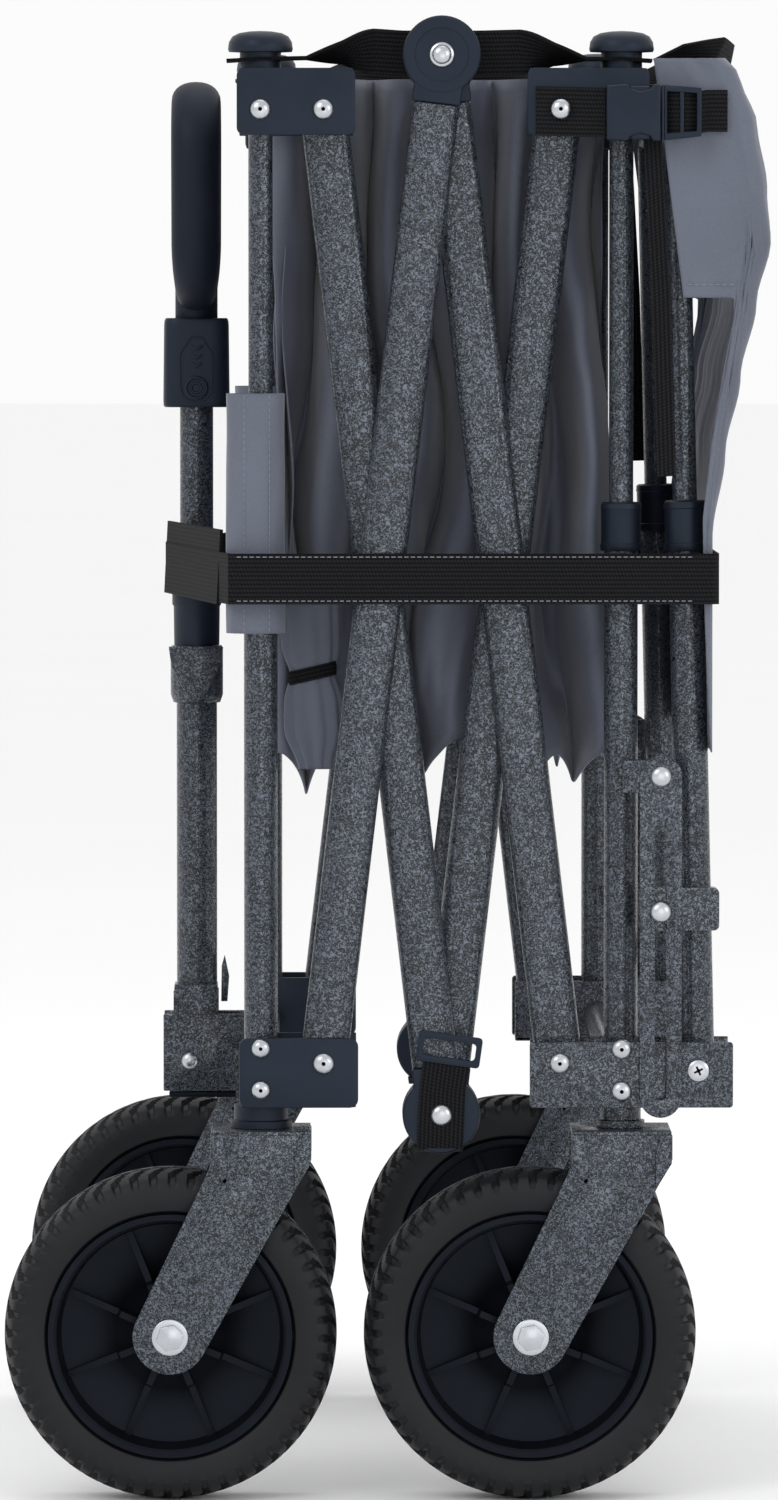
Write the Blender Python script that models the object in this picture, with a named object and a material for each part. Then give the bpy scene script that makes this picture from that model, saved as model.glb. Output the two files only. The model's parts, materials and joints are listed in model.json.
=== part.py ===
# Folding wagon, folded and standing on its four wheels.
# +X is the rear, -Y the near side, +Z up. Units are metres.
import math

import bmesh
import bpy
from mathutils import Matrix, Vector

# Scissor linkage: low and top pivots on the posts, shared pivots at mid length
FRONT_PIVOT_X = -0.035
MID_X = 0.028
REAR_PIVOT_X = 0.091
LOW_PIVOT_Z = 0.235
TOP_PIVOT_Z = 0.743
MID_TOP_Z = 0.772
MID_LOW_Z = 0.206

# Flat-oval scissor bars, in three layers from the outside inwards
BAR_WIDTH = 0.025
BAR_THICK = 0.011
BAR_WALL = 0.0014
BAR_OVERSHOOT = 0.010
LAYERS = (0.241, 0.228, 0.215)
CAP_DISC_RADIUS = 0.0205
CAP_NECK = 0.026

# Telescoping posts
FRONT_POST_X = -0.0685
REAR_POST_X = 0.124
POST_Y = 0.228
POST_OD = 0.018
POST_ID = 0.0144
POST_LOW_Z = 0.2145
POST_TOP_Z = 0.512
INNER_OD = 0.013
INNER_ID = 0.0106
INNER_LOW_Z = 0.478
INNER_TOP_Z = 0.757
COLLAR_OD = 0.022
COLLAR_LOW_Z = 0.508
COLLAR_TOP_Z = 0.534
CROSS_OD = 0.016
LOW_CROSS_Z = 0.2265
TOP_CROSS_Z = 0.745

# Corner brackets: channels that hold the bars and posts
BRACKET_OUT_Y = 0.250
BRACKET_IN_Y = 0.205
BRACKET_WALL = 0.0025
LOW_BRACKET_Z = (0.2112, 0.2484)
TOP_BRACKET_Z = (0.7293, 0.7649)
FRONT_BRACKET_X = (-0.080, -0.0165)
REAR_BRACKET_X = (0.075, 0.1835)
FRONT_TOP_X = (-0.081, -0.018)
REAR_TOP_X = (0.0734, 0.1383)
DOME_RADIUS = 0.017
DOME_TOP_Z = 0.785

# Screws, pins and rivets
PIN_RADIUS = 0.0025
PIN_HOLE = 0.0029
SCREW_HEAD = 0.0053
NUT_RADIUS = 0.0045
POST_SCREW_Z = (0.2207, 0.2420)

# Casters and wheels
WHEEL_RADIUS = 0.089
TYRE_HALF = 0.025
RIM_RADIUS = 0.066
RIM_HALF = 0.023
HUB_RADIUS = 0.015
AXLE_RADIUS = 0.004
TRAIL = 0.0485
FORK_TOP_Z = 0.199
FORK_PLATE = 0.003
FORK_INNER = 0.0265
FORK_OUTER = 0.0290
FORK_HALF_WIDTH = 0.027
STEM_RADIUS = 0.006
RIB_COUNT = 8

# Tailgate with its slotted side links
GATE_PIVOT = (0.165, 0.231)
FLAT_HEAD = 0.0008
PAN_HEAD = 0.0030
GATE_LEAN = math.radians(1.3)
GATE_OD = 0.019
GATE_ID = 0.0154
LINK_TOP = (0.1447, 0.3883)
LINK_PIN_Z = 0.316
LINK_WIDTH = 0.022
LINK_SLOT = 0.006
LINK_SLOT_Z = (0.2155, 0.3590)
LINK_LOW_Z = 0.2060
LINK_HIGH_Z = 0.3995
LINK_Y = (0.2512, 0.2532)

# Pull handle
HANDLE_X = -0.106
HANDLE_PIVOT = (-0.110, 0.2175)
YOKE_FRONT_X = -0.1246
HANDLE_OUTER = (0.01125, 0.0099)
HANDLE_INNER = (0.00925, 0.0080)
HANDLE_LOW_Z = (0.232, 0.4495)
HANDLE_SLIDE_Z = (0.245, 0.600)
HOUSING_Z = (0.582, 0.632)
GRIP_Z = 0.7005
BUTTON_Z = 0.593

# Soft goods
STRAP_Z = (0.4800, 0.5070)
STRAP_THICK = 0.002
CLOTH_HALF_Y = 0.200

GAP = 0.0003
NEAR, FAR = -1, 1
SIDES = (("near", NEAR), ("far", FAR))

HAMMERED = ((0.075, 0.085, 0.10), 0.42, 0.35)
BLACK_PLASTIC = ((0.012, 0.014, 0.020), 0.45, 0.0)
RUBBER = ((0.018, 0.019, 0.021), 0.75, 0.0)
CLOTH = ((0.105, 0.118, 0.150), 0.85, 0.0)
WEBBING = ((0.010, 0.010, 0.012), 0.80, 0.0)

for stale in list(bpy.data.objects):
    bpy.data.objects.remove(stale, do_unlink=True)


def solid(bm):
    """Turns a bmesh of one closed shape into a mesh with its faces outwards."""
    bmesh.ops.remove_doubles(bm, verts=bm.verts, dist=1e-6)
    bmesh.ops.recalc_face_normals(bm, faces=bm.faces)
    mesh = bpy.data.meshes.new("shape")
    bm.to_mesh(mesh)
    bm.free()
    return mesh


def assemble(name, look, shapes, cuts=(), origin=(0.0, 0.0, 0.0)):
    """One node from closed shapes in world metres: the first, joined by the rest, less the cuts."""
    base, *added = [solid(bm) for bm in shapes]
    base.name = name
    base.transform(Matrix.Translation(-Vector(origin)))
    node = bpy.data.objects.new(name, base)
    node.location = origin
    bpy.context.scene.collection.objects.link(node)
    tools = [(mesh, "UNION") for mesh in added] + [(solid(bm), "DIFFERENCE") for bm in cuts]
    for number, (mesh, operation) in enumerate(tools):
        tool = bpy.data.objects.new(f"{name}_tool_{number}", mesh)
        tool.hide_render = True
        tool.display_type = "WIRE"
        bpy.context.scene.collection.objects.link(tool)
        modifier = node.modifiers.new(operation.lower(), "BOOLEAN")
        modifier.operation = operation
        modifier.solver = "EXACT"
        modifier.object = tool
    colour, roughness, metallic = look
    material = bpy.data.materials.new(name)
    material.use_nodes = True
    shader = material.node_tree.nodes["Principled BSDF"]
    shader.inputs["Base Color"].default_value = (*colour, 1.0)
    shader.inputs["Roughness"].default_value = roughness
    shader.inputs["Metallic"].default_value = metallic
    base.materials.append(material)


def made(build, *arguments, **options):
    """A new bmesh filled by one of the shape functions."""
    bm = bmesh.new()
    build(bm, *arguments, **options)
    return bm


def loft(bm, rings, closed=False):
    """Skins rings of points. A closed loft joins the last ring to the first; an open one gets end caps."""
    rows = [[bm.verts.new(p) for p in ring] for ring in rings]
    count = len(rows[0])
    pairs = list(zip(rows, rows[1:]))
    if closed:
        pairs.append((rows[-1], rows[0]))
    for a, b in pairs:
        for i in range(count):
            j = (i + 1) % count
            bm.faces.new((a[i], a[j], b[j], b[i]))
    if not closed:
        bm.faces.new(rows[0])
        bm.faces.new(list(reversed(rows[-1])))


def prism(bm, outline, low, high, normal="y"):
    """Extrudes a closed outline. The outline is (x, z) for normal y, (y, z) for x and (x, y) for z."""
    place = {
        "x": lambda u, v, h: (h, u, v),
        "y": lambda u, v, h: (u, h, v),
        "z": lambda u, v, h: (u, v, h),
    }[normal]
    loft(bm, [[place(u, v, h) for u, v in outline] for h in (low, high)])


def box(bm, low, high):
    x0, y0, z0 = low
    x1, y1, z1 = high
    prism(bm, [(x0, y0), (x1, y0), (x1, y1), (x0, y1)], z0, z1, "z")


def turned(bm, profile, centre, axis, steps, ring=False):
    """Turns a profile of (radius, height) about an axis. A ring profile is a closed loop off the axis."""
    turn = Vector((0, 0, 1)).rotation_difference(Vector(axis)).to_matrix()
    rings = []
    for i in range(steps):
        a = 2 * math.pi * i / steps
        points = [Vector((r * math.cos(a), r * math.sin(a), h)) for r, h in profile]
        rings.append([Vector(centre) + turn @ p for p in points])
    if ring:
        loft(bm, rings, closed=True)
        return
    for i in range(steps):
        j = (i + 1) % steps
        for k in range(len(profile) - 1):
            quad = [rings[i][k], rings[i][k + 1], rings[j][k + 1], rings[j][k]]
            corners = []
            for p in quad:
                if all((p - q).length > 1e-7 for q in corners):
                    corners.append(p)
            bm.faces.new([bm.verts.new(p) for p in corners])
    bmesh.ops.remove_doubles(bm, verts=bm.verts, dist=1e-6)


def tube(bm, start, end, outer, inner, steps=12):
    start, end = Vector(start), Vector(end)
    length = (end - start).length
    profile = [(outer, 0), (outer, length), (inner, length), (inner, 0)]
    turned(bm, profile, start, end - start, steps, ring=True)


def rod(bm, start, end, radius, steps=12):
    start, end = Vector(start), Vector(end)
    length = (end - start).length
    turned(bm, [(0, 0), (radius, 0), (radius, length), (0, length)], start, end - start, steps)


def collar(bm, x, y, z_low, z_step, z_high, bore_low, bore_high, outer, steps=12):
    profile = [
        (bore_low, z_low),
        (outer, z_low),
        (outer, z_high),
        (bore_high, z_high),
        (bore_high, z_step),
        (bore_low, z_step),
    ]
    turned(bm, profile, (x, y, 0), (0, 0, 1), steps, ring=True)


def pin(bm, x, z, side, head_y, tail_y, head=SCREW_HEAD, depth=PAN_HEAD, nut=NUT_RADIUS):
    """Pan head from head_y outwards, shank to tail_y, and a nut beyond it if nut is set."""
    profile = [(0, head_y + depth), (head * 0.72, head_y + depth * 0.8), (head, head_y - 0.0004)]
    profile += [(PIN_RADIUS, head_y - 0.0004), (PIN_RADIUS, tail_y)]
    if nut:
        profile += [(nut, tail_y), (nut, tail_y - 0.0022), (0, tail_y - 0.0022)]
    else:
        profile += [(0, tail_y)]
    turned(bm, profile, (x, 0, z), (0, side, 0), 8)


def hole(bm, x, z, side, low_y, high_y, radius=PIN_HOLE):
    rod(bm, (x, side * low_y, z), (x, side * high_y, z), radius, 10)


def flat_oval(half_width, half_thick, steps=4):
    """Section of a flat-oval tube: two half circles joined by flats, across the bar and along Y."""
    points = []
    straight = half_width - half_thick
    for sign, start in ((1, -90), (-1, 90)):
        for i in range(steps + 1):
            a = math.radians(start + 180 * i / steps)
            points.append((sign * straight + half_thick * math.cos(a), half_thick * math.sin(a)))
    return points


def bar_axes(start, end):
    along = Vector((end[0] - start[0], 0, end[1] - start[1])).normalized()
    return along, Vector((along.z, 0, -along.x))


def bar_tube(bm, post_pivot, mid_pivot, y):
    """Flat-oval tube from past its post pivot to the cap at its mid pivot."""
    along, across = bar_axes(post_pivot, mid_pivot)
    start = Vector((post_pivot[0], y, post_pivot[1])) - along * BAR_OVERSHOOT
    end = Vector((mid_pivot[0], y, mid_pivot[1])) - along * (CAP_NECK + GAP)
    loops = []
    for point, wall in ((start, 0), (end, 0), (end, BAR_WALL), (start, BAR_WALL)):
        section = flat_oval(BAR_WIDTH / 2 - wall, BAR_THICK / 2 - wall)
        loops.append([point + across * u + Vector((0, v, 0)) for u, v in section])
    loft(bm, loops, closed=True)


def cap_disc(bm, pivot, toward, y, neck):
    """Round bar end with a straight neck towards the bar."""
    along, across = bar_axes(pivot, toward)
    half = BAR_WIDTH / 2
    spread = math.asin(half / CAP_DISC_RADIUS)
    outline = []
    for i in range(17):
        a = spread + (2 * math.pi - 2 * spread) * i / 16
        outline.append((along * math.cos(a) + across * math.sin(a)) * CAP_DISC_RADIUS)
    outline.append(along * neck - across * half)
    outline.append(along * neck + across * half)
    centre = Vector((pivot[0], y, pivot[1]))
    rings = []
    for h in (-BAR_THICK / 2, BAR_THICK / 2):
        rings.append([centre + p + Vector((0, h, 0)) for p in outline])
    loft(bm, rings)


def cap_plug(bm, pivot, toward, y):
    """Tongue of a separate cap, inside the end of its tube."""
    along, across = bar_axes(pivot, toward)
    centre = Vector((pivot[0], y, pivot[1]))
    rings = []
    for h in (CAP_NECK - 0.004, CAP_NECK + 0.012):
        ring = [(-0.0085, -0.0034), (0.0085, -0.0034), (0.0085, 0.0034), (-0.0085, 0.0034)]
        rings.append([centre + along * h + across * u + Vector((0, v, 0)) for u, v in ring])
    loft(bm, rings)


front_low = (FRONT_PIVOT_X, LOW_PIVOT_Z)
front_top = (FRONT_PIVOT_X, TOP_PIVOT_Z)
rear_low = (REAR_PIVOT_X, LOW_PIVOT_Z)
rear_top = (REAR_PIVOT_X, TOP_PIVOT_Z)
mid_top = (MID_X, MID_TOP_Z)
mid_low = (MID_X, MID_LOW_Z)
share = (TOP_PIVOT_Z - LOW_PIVOT_Z) / (2 * (MID_TOP_Z - LOW_PIVOT_Z))
cross_z = (TOP_PIVOT_Z + LOW_PIVOT_Z) / 2
front_cross = (FRONT_PIVOT_X + share * (MID_X - FRONT_PIVOT_X), cross_z)
rear_cross = (REAR_PIVOT_X - share * (REAR_PIVOT_X - MID_X), cross_z)


def layer_span(outer, inner):
    return LAYERS[outer] + BAR_THICK / 2, LAYERS[inner] - BAR_THICK / 2


def scissor_bar(name, post_pivot, mid_pivot, cross, side, layer, origin, rivet_to=None, capped=False):
    """A bar drilled at its post pivot. It carries the crossing rivet, or is drilled for it too."""
    y = side * LAYERS[layer]
    low, high = LAYERS[layer] - BAR_THICK, LAYERS[layer] + BAR_THICK
    shapes = [made(bar_tube, post_pivot, mid_pivot, y)]
    cuts = [made(hole, *post_pivot, side, low, high)]
    if rivet_to is None:
        cuts.append(made(hole, *cross, side, low, high))
    else:
        face, tail = layer_span(layer, rivet_to)
        shapes.append(made(pin, *cross, side, face, tail - 0.0002, 0.005, 0.0022, 0.0042))
    if capped:
        shapes.append(made(cap_disc, mid_pivot, post_pivot, y, CAP_NECK + 0.004))
        cuts.append(made(hole, *mid_pivot, side, low, high))
    assemble(name, HAMMERED, shapes, cuts, origin)


def mid_cap(name, pivot, toward, side, layer, head, origin):
    """Plastic end cap with the rivet that joins it to the bar behind."""
    y = side * LAYERS[layer]
    face, tail = layer_span(layer, layer + 1)
    shapes = [
        made(cap_disc, pivot, toward, y, CAP_NECK),
        made(cap_plug, pivot, toward, y),
        made(pin, *pivot, side, face, tail - 0.0002, head, 0.0026, 0.0050),
    ]
    assemble(name, BLACK_PLASTIC, shapes, (), origin)


# Bars: a and c meet at the top middle, b and d at the bottom middle
for label, side in SIDES:
    joint = (front_low[0], 0.0, front_low[1])
    scissor_bar(f"bar_a_{label}", front_low, mid_top, front_cross, side, 0, joint, rivet_to=1)
    mid_cap(f"top_mid_cap_{label}", mid_top, front_low, side, 0, 0.006, joint)
    joint = (front_cross[0], 0.0, front_cross[1])
    scissor_bar(f"bar_b_{label}", front_top, mid_low, front_cross, side, 1, joint)
    mid_cap(f"low_mid_cap_{label}", mid_low, front_top, side, 1, 0.0074, joint)
    joint = (mid_top[0], 0.0, mid_top[1])
    scissor_bar(f"bar_c_{label}", rear_low, mid_top, rear_cross, side, 1, joint, rivet_to=2, capped=True)
    joint = (rear_cross[0], 0.0, rear_cross[1])
    scissor_bar(f"bar_d_{label}", rear_top, mid_low, rear_cross, side, 2, joint, capped=True)


def channel(z_range, wall_at_top):
    """Outline of a U channel in (y, z), open away from its web."""
    low, high = z_range
    out_y, in_y, wall = BRACKET_OUT_Y, BRACKET_IN_Y, BRACKET_WALL
    edge, inner_edge, open_edge = (high, high - wall, low) if wall_at_top else (low, low + wall, high)
    return [
        (out_y, open_edge),
        (out_y, edge),
        (in_y, edge),
        (in_y, open_edge),
        (in_y + wall, open_edge),
        (in_y + wall, inner_edge),
        (out_y - wall, inner_edge),
        (out_y - wall, open_edge),
    ]


def hem_plug(bm, x, side):
    """Plug that clamps the cloth hem on top of a corner bracket."""
    top = TOP_BRACKET_Z[1] - 0.0005
    profile = [(0, top), (0.011, top), (0.011, 0.7735), (DOME_RADIUS, 0.7745)]
    profile += [(DOME_RADIUS * 0.86, 0.7805), (DOME_RADIUS * 0.5, DOME_TOP_Z - 0.0008), (0, DOME_TOP_Z)]
    turned(bm, profile, (x, side * POST_Y, 0), (0, 0, 1), 12)


def stem_seat(bm, x, side):
    """Round seat between a bracket and its fork, bored for the stem."""
    top = LOW_BRACKET_Z[0] + 0.0005
    low = FORK_TOP_Z + GAP
    profile = [(0.0066, low), (0.0165, low), (0.0165, top), (0.0066, top)]
    turned(bm, profile, (x, side * POST_Y, 0), (0, 0, 1), 12, ring=True)


def bracket(name, look, side, x_range, z_range, pins, screws, post_x, origin, top=False):
    """A corner bracket with its pivot pins and screws, open for the cross tube and the stem."""
    outline = [(side * y, z) for y, z in channel(z_range, top)]
    shapes = [made(prism, outline, x_range[0], x_range[1], "x")]
    for x, z in pins:
        depth = FLAT_HEAD if (x, z) == GATE_PIVOT else PAN_HEAD
        shapes.append(made(pin, x, z, side, BRACKET_OUT_Y, BRACKET_IN_Y + 0.0004, depth=depth))
    for x, z in screws:
        shapes.append(made(pin, x, z, side, BRACKET_OUT_Y, BRACKET_OUT_Y - 0.001, nut=0))
    tube_z = TOP_CROSS_Z if top else LOW_CROSS_Z
    radius = (INNER_OD if top else CROSS_OD) / 2 + 2 * GAP
    cuts = [made(rod, (post_x, side * 0.212, tube_z), (post_x, side * 0.198, tube_z), radius, 12)]
    if top:
        shapes.append(made(hem_plug, post_x, side))
    else:
        shapes.append(made(stem_seat, post_x, side))
        y = side * POST_Y
        cuts.append(made(rod, (post_x, y, 0.2105), (post_x, y, 0.2142), 0.0066, 12))
    assemble(name, look, shapes, cuts, origin)


def post(bm, x, side):
    y = side * POST_Y
    tube(bm, (x, y, POST_LOW_Z), (x, y, POST_TOP_Z), POST_OD / 2, POST_ID / 2)


def handle_yoke(bm):
    """Open-fronted bracket that holds the foot of the handle."""
    back = FRONT_POST_X - CROSS_OD / 2 + 0.0008
    arm_in, arm_out = 0.0132, 0.0157
    outline = [
        (back, -arm_out),
        (back, arm_out),
        (YOKE_FRONT_X, arm_out),
        (YOKE_FRONT_X, arm_in),
        (back - 0.0033, arm_in),
        (back - 0.0033, -arm_in),
        (YOKE_FRONT_X, -arm_in),
        (YOKE_FRONT_X, -arm_out),
    ]
    prism(bm, outline, 0.2007, 0.2437, "z")


def handle_pin(bm):
    x, z = HANDLE_PIVOT
    profile = [(0, -0.0180), (0.005, -0.0180), (0.005, -0.0150), (0.003, -0.0150)]
    profile += [(0.003, 0.0150), (0.005, 0.0150), (0.005, 0.0180), (0, 0.0180)]
    turned(bm, profile, (x, 0, z), (0, 1, 0), 12)


def link_tab(bm, side):
    """Tab welded to a rear post that stands the slotted link off it."""
    x = REAR_POST_X
    end = LINK_TOP[0] + 0.008
    outline = [(x + 0.0005, 0.2362), (x + 0.0090, 0.2330), (x + 0.0090, 0.2488)]
    outline += [(end, 0.2488), (end, 0.2508), (x + 0.0005, 0.2508)]
    prism(bm, [(u, side * v) for u, v in outline], 0.3795, 0.3968, "z")


cross_reach = POST_Y - POST_OD / 2 + 0.001
shapes = [made(post, FRONT_POST_X, side) for _, side in SIDES]
ends = [(FRONT_POST_X, side * cross_reach, LOW_CROSS_Z) for _, side in SIDES]
shapes += [made(tube, *ends, CROSS_OD / 2, CROSS_OD / 2 - 0.0015), made(handle_yoke), made(handle_pin)]
assemble("front_lower_frame", HAMMERED, shapes)

rear_origin = (rear_low[0], 0.0, rear_low[1])
shapes = [made(post, REAR_POST_X, side) for _, side in SIDES]
ends = [(REAR_POST_X, side * cross_reach, LOW_CROSS_Z) for _, side in SIDES]
shapes += [made(tube, *ends, CROSS_OD / 2, CROSS_OD / 2 - 0.0015)]
for _, side in SIDES:
    shapes.append(made(link_tab, side))
    shapes.append(made(pin, *LINK_TOP, side, LINK_Y[1] + 0.0007, 0.2495, 0.0052, 0.0024, 0))
assemble("rear_lower_frame", HAMMERED, shapes, (), rear_origin)

front_top_origin = (front_top[0], 0.0, front_top[1])
rear_top_origin = (rear_top[0], 0.0, rear_top[1])
top_reach = POST_Y - INNER_OD / 2 + 0.0006
for end_name, x, origin in (
    ("front", FRONT_POST_X, front_top_origin),
    ("rear", REAR_POST_X, rear_top_origin),
):
    shapes = []
    for _, side in SIDES:
        y = side * POST_Y
        ends = [(x, y, INNER_LOW_Z), (x, y, INNER_TOP_Z)]
        shapes.append(made(tube, *ends, INNER_OD / 2, INNER_ID / 2, 12))
    ends = [(x, side * top_reach, TOP_CROSS_Z) for _, side in SIDES]
    shapes.append(made(tube, *ends, INNER_OD / 2 - 0.0003, INNER_ID / 2, 12))
    assemble(f"{end_name}_upper_frame", HAMMERED, shapes, (), origin)

# Corner brackets and post collars
REAR_LOW_Z = (LOW_BRACKET_Z[0], 0.2463)
for label, side in SIDES:
    bracket(
        f"front_bracket_{label}",
        BLACK_PLASTIC,
        side,
        FRONT_BRACKET_X,
        LOW_BRACKET_Z,
        [front_low],
        [(FRONT_POST_X, z) for z in POST_SCREW_Z],
        FRONT_POST_X,
        (0.0, 0.0, 0.0),
    )
    bracket(
        f"rear_bracket_{label}",
        HAMMERED,
        side,
        REAR_BRACKET_X,
        REAR_LOW_Z,
        [rear_low, GATE_PIVOT],
        [(REAR_POST_X, z) for z in POST_SCREW_Z],
        REAR_POST_X,
        rear_origin,
    )
    bracket(
        f"front_top_bracket_{label}",
        BLACK_PLASTIC,
        side,
        FRONT_TOP_X,
        TOP_BRACKET_Z,
        [front_top],
        [(FRONT_POST_X, TOP_PIVOT_Z)],
        FRONT_POST_X,
        front_top_origin,
        top=True,
    )
    bracket(
        f"rear_top_bracket_{label}",
        BLACK_PLASTIC,
        side,
        REAR_TOP_X,
        TOP_BRACKET_Z,
        [rear_top],
        [],
        REAR_POST_X,
        rear_top_origin,
        top=True,
    )
    for end_name, x, origin in (("front", FRONT_POST_X, (0, 0, 0)), ("rear", REAR_POST_X, rear_origin)):
        shape = made(
            collar,
            x,
            side * POST_Y,
            COLLAR_LOW_Z,
            POST_TOP_Z + GAP,
            COLLAR_TOP_Z,
            POST_OD / 2 + GAP,
            INNER_OD / 2 + 0.0004,
            COLLAR_OD / 2,
        )
        assemble(f"{end_name}_collar_{label}", BLACK_PLASTIC, [shape], (), origin)


def fork_leg(bm, x, side, hand):
    """Fork leg: wide at the crown, tapering to a round end on the axle."""
    axle_x = x - TRAIL
    top = FORK_TOP_Z - 0.001
    outline = [(x + FORK_HALF_WIDTH, top), (x - FORK_HALF_WIDTH, top), (x - FORK_HALF_WIDTH, 0.180)]
    for i in range(9):
        a = math.radians(152 + 176 * i / 8)
        outline.append((axle_x + 0.020 * math.cos(a), WHEEL_RADIUS + 0.020 * math.sin(a)))
    outline.append((x + 0.019, 0.172))
    outline.append((x + FORK_HALF_WIDTH, 0.184))
    y = side * POST_Y
    prism(bm, outline, y + hand * FORK_INNER, y + hand * FORK_OUTER)


def axle_bolt(bm, x, side):
    """Hex bolt through the fork and hub, with its nut on the inner side."""
    reach = FORK_OUTER - 0.0004
    radius = AXLE_RADIUS
    profile = [(0, reach + 0.0045), (0.0068, reach + 0.0045), (0.0068, reach), (radius, reach)]
    profile += [(radius, -reach), (0.0068, -reach), (0.0068, -reach - 0.0055), (0, -reach - 0.0055)]
    turned(bm, profile, (x - TRAIL, side * POST_Y, WHEEL_RADIUS), (0, side, 0), 12)


def fork(name, x, side, origin):
    """Crown plate, two legs, the stem that runs up into the post, and the axle."""
    y = side * POST_Y
    low = (x - FORK_HALF_WIDTH + 0.0005, y - FORK_OUTER + 0.0005, FORK_TOP_Z - FORK_PLATE)
    high = (x + FORK_HALF_WIDTH - 0.0005, y + FORK_OUTER - 0.0005, FORK_TOP_Z)
    shapes = [made(box, low, high)]
    shapes += [made(fork_leg, x, side, hand) for hand in (-1, 1)]
    shapes.append(made(rod, (x, y, FORK_TOP_Z - 0.001), (x, y, 0.2400), STEM_RADIUS, 12))
    shapes.append(made(axle_bolt, x, side))
    assemble(name, HAMMERED, shapes, (), origin)


def rib(bm, centre, side, number):
    box(bm, (0.0140, -0.001, -0.0013), (0.0610, 0.0140, 0.0013))
    turn = Matrix.Rotation(2 * math.pi * (number + 0.5) / RIB_COUNT, 4, "Y")
    flip = Matrix.Scale(side, 4, (0, 1, 0))
    bmesh.ops.transform(bm, matrix=Matrix.Translation(centre) @ turn @ flip, verts=bm.verts)


def wheel(label, x, side):
    centre = (x - TRAIL, side * POST_Y, WHEEL_RADIUS)
    half = TYRE_HALF
    profile = [
        (RIM_RADIUS + GAP, -RIM_HALF),
        (0.0720, -half),
        (0.0815, -half + 0.0008),
        (0.0868, -half + 0.0055),
        (WHEEL_RADIUS, -half + 0.0125),
        (WHEEL_RADIUS, half - 0.0125),
        (0.0868, half - 0.0055),
        (0.0815, half - 0.0008),
        (0.0720, half),
        (RIM_RADIUS + GAP, RIM_HALF),
    ]
    shape = made(turned, profile, centre, (0, side, 0), 28, ring=True)
    assemble(f"tyre_{label}", RUBBER, [shape], (), centre)
    bore = AXLE_RADIUS + GAP
    profile = [
        (bore, -half),
        (HUB_RADIUS, -half),
        (HUB_RADIUS, -0.002),
        (0.0600, -0.002),
        (0.0600, -RIM_HALF),
        (RIM_RADIUS, -RIM_HALF),
        (RIM_RADIUS, RIM_HALF),
        (0.0600, RIM_HALF),
        (0.0600, 0.002),
        (HUB_RADIUS, 0.002),
        (HUB_RADIUS, half),
        (bore, half),
    ]
    shapes = [made(turned, profile, centre, (0, side, 0), 28, ring=True)]
    shapes += [made(rib, centre, side, number) for number in range(RIB_COUNT)]
    assemble(f"rim_{label}", BLACK_PLASTIC, shapes, (), centre)


for label, side in SIDES:
    fork(f"front_fork_{label}", FRONT_POST_X, side, (FRONT_POST_X, side * POST_Y, FORK_TOP_Z))
    fork(f"rear_fork_{label}", REAR_POST_X, side, rear_origin)
    wheel(f"front_{label}", FRONT_POST_X, side)
    wheel(f"rear_{label}", REAR_POST_X, side)

# Tailgate: lower frame on the rear brackets, upper loop sliding in it, slotted links at the sides
gate_up = Vector((-math.sin(GATE_LEAN), 0, math.cos(GATE_LEAN)))
gate_origin = Vector((GATE_PIVOT[0], 0, GATE_PIVOT[1]))


def gate_point(distance, y):
    return gate_origin + gate_up * distance + Vector((0, y, 0))


def gate_clip(bm, side):
    """Clip round the tailgate tube with the stud that steers the link."""
    x = gate_point(0.085, 0).x
    outline = [(x - 0.026, 0.2362), (x + 0.010, 0.2362), (x + 0.010, 0.2496), (x - 0.026, 0.2496)]
    prism(bm, [(u, side * v) for u, v in outline], 0.3059, 0.3287, "z")


def slot_outline(x, low, high, half, steps=6):
    points = []
    for centre, start in ((high, 0), (low, 180)):
        for i in range(steps + 1):
            a = math.radians(start + 180 * i / steps)
            points.append((x + half * math.cos(a), centre + half * math.sin(a)))
    return points


shapes = []
cuts = []
for _, side in SIDES:
    y = side * POST_Y
    shapes.append(made(tube, gate_point(-0.008, y), gate_point(0.281, y), GATE_OD / 2, GATE_ID / 2))
for _, side in SIDES:
    shapes.append(made(gate_clip, side))
    stud_in, stud_out = [(LINK_TOP[0], side * y, LINK_PIN_Z) for y in (0.249, 0.2508)]
    shapes.append(made(rod, stud_in, stud_out, 0.002, 8))
    cuts.append(made(rod, gate_point(0, side * 0.21), gate_point(0, side * 0.246), PIN_HOLE, 10))
reach = POST_Y - GATE_OD / 2 + 0.001
shapes.append(made(tube, gate_point(0.060, -reach), gate_point(0.060, reach), 0.007, 0.0056, 12))
assemble("tailgate_frame", HAMMERED, shapes, cuts, gate_origin)

for label, side in SIDES:
    profile = [(GATE_OD / 2 + GAP, 0), (0.0112, 0), (0.0112, 0.027), (0.0069, 0.027)]
    profile += [(0.0069, 0.0043), (GATE_OD / 2 + GAP, 0.0043)]
    shape = made(turned, profile, gate_point(0.277, side * POST_Y), gate_up, 12, ring=True)
    assemble(f"tailgate_collar_{label}", BLACK_PLASTIC, [shape], (), gate_origin)
    half = LINK_WIDTH / 2
    outline = slot_outline(LINK_TOP[0], LINK_LOW_Z + half, LINK_HIGH_Z - half, half)
    plate = made(prism, outline, side * LINK_Y[0], side * LINK_Y[1])
    low_y, high_y = side * (LINK_Y[0] - 0.001), side * (LINK_Y[1] + 0.001)
    outline = slot_outline(LINK_TOP[0], LINK_SLOT_Z[0], LINK_SLOT_Z[1], LINK_SLOT / 2)
    slot = made(prism, outline, low_y, high_y)
    eye = made(hole, *LINK_TOP, side, LINK_Y[0] - 0.001, LINK_Y[1] + 0.001)
    assemble(f"tailgate_link_{label}", HAMMERED, [plate], [slot, eye], (LINK_TOP[0], 0, LINK_TOP[1]))

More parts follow.
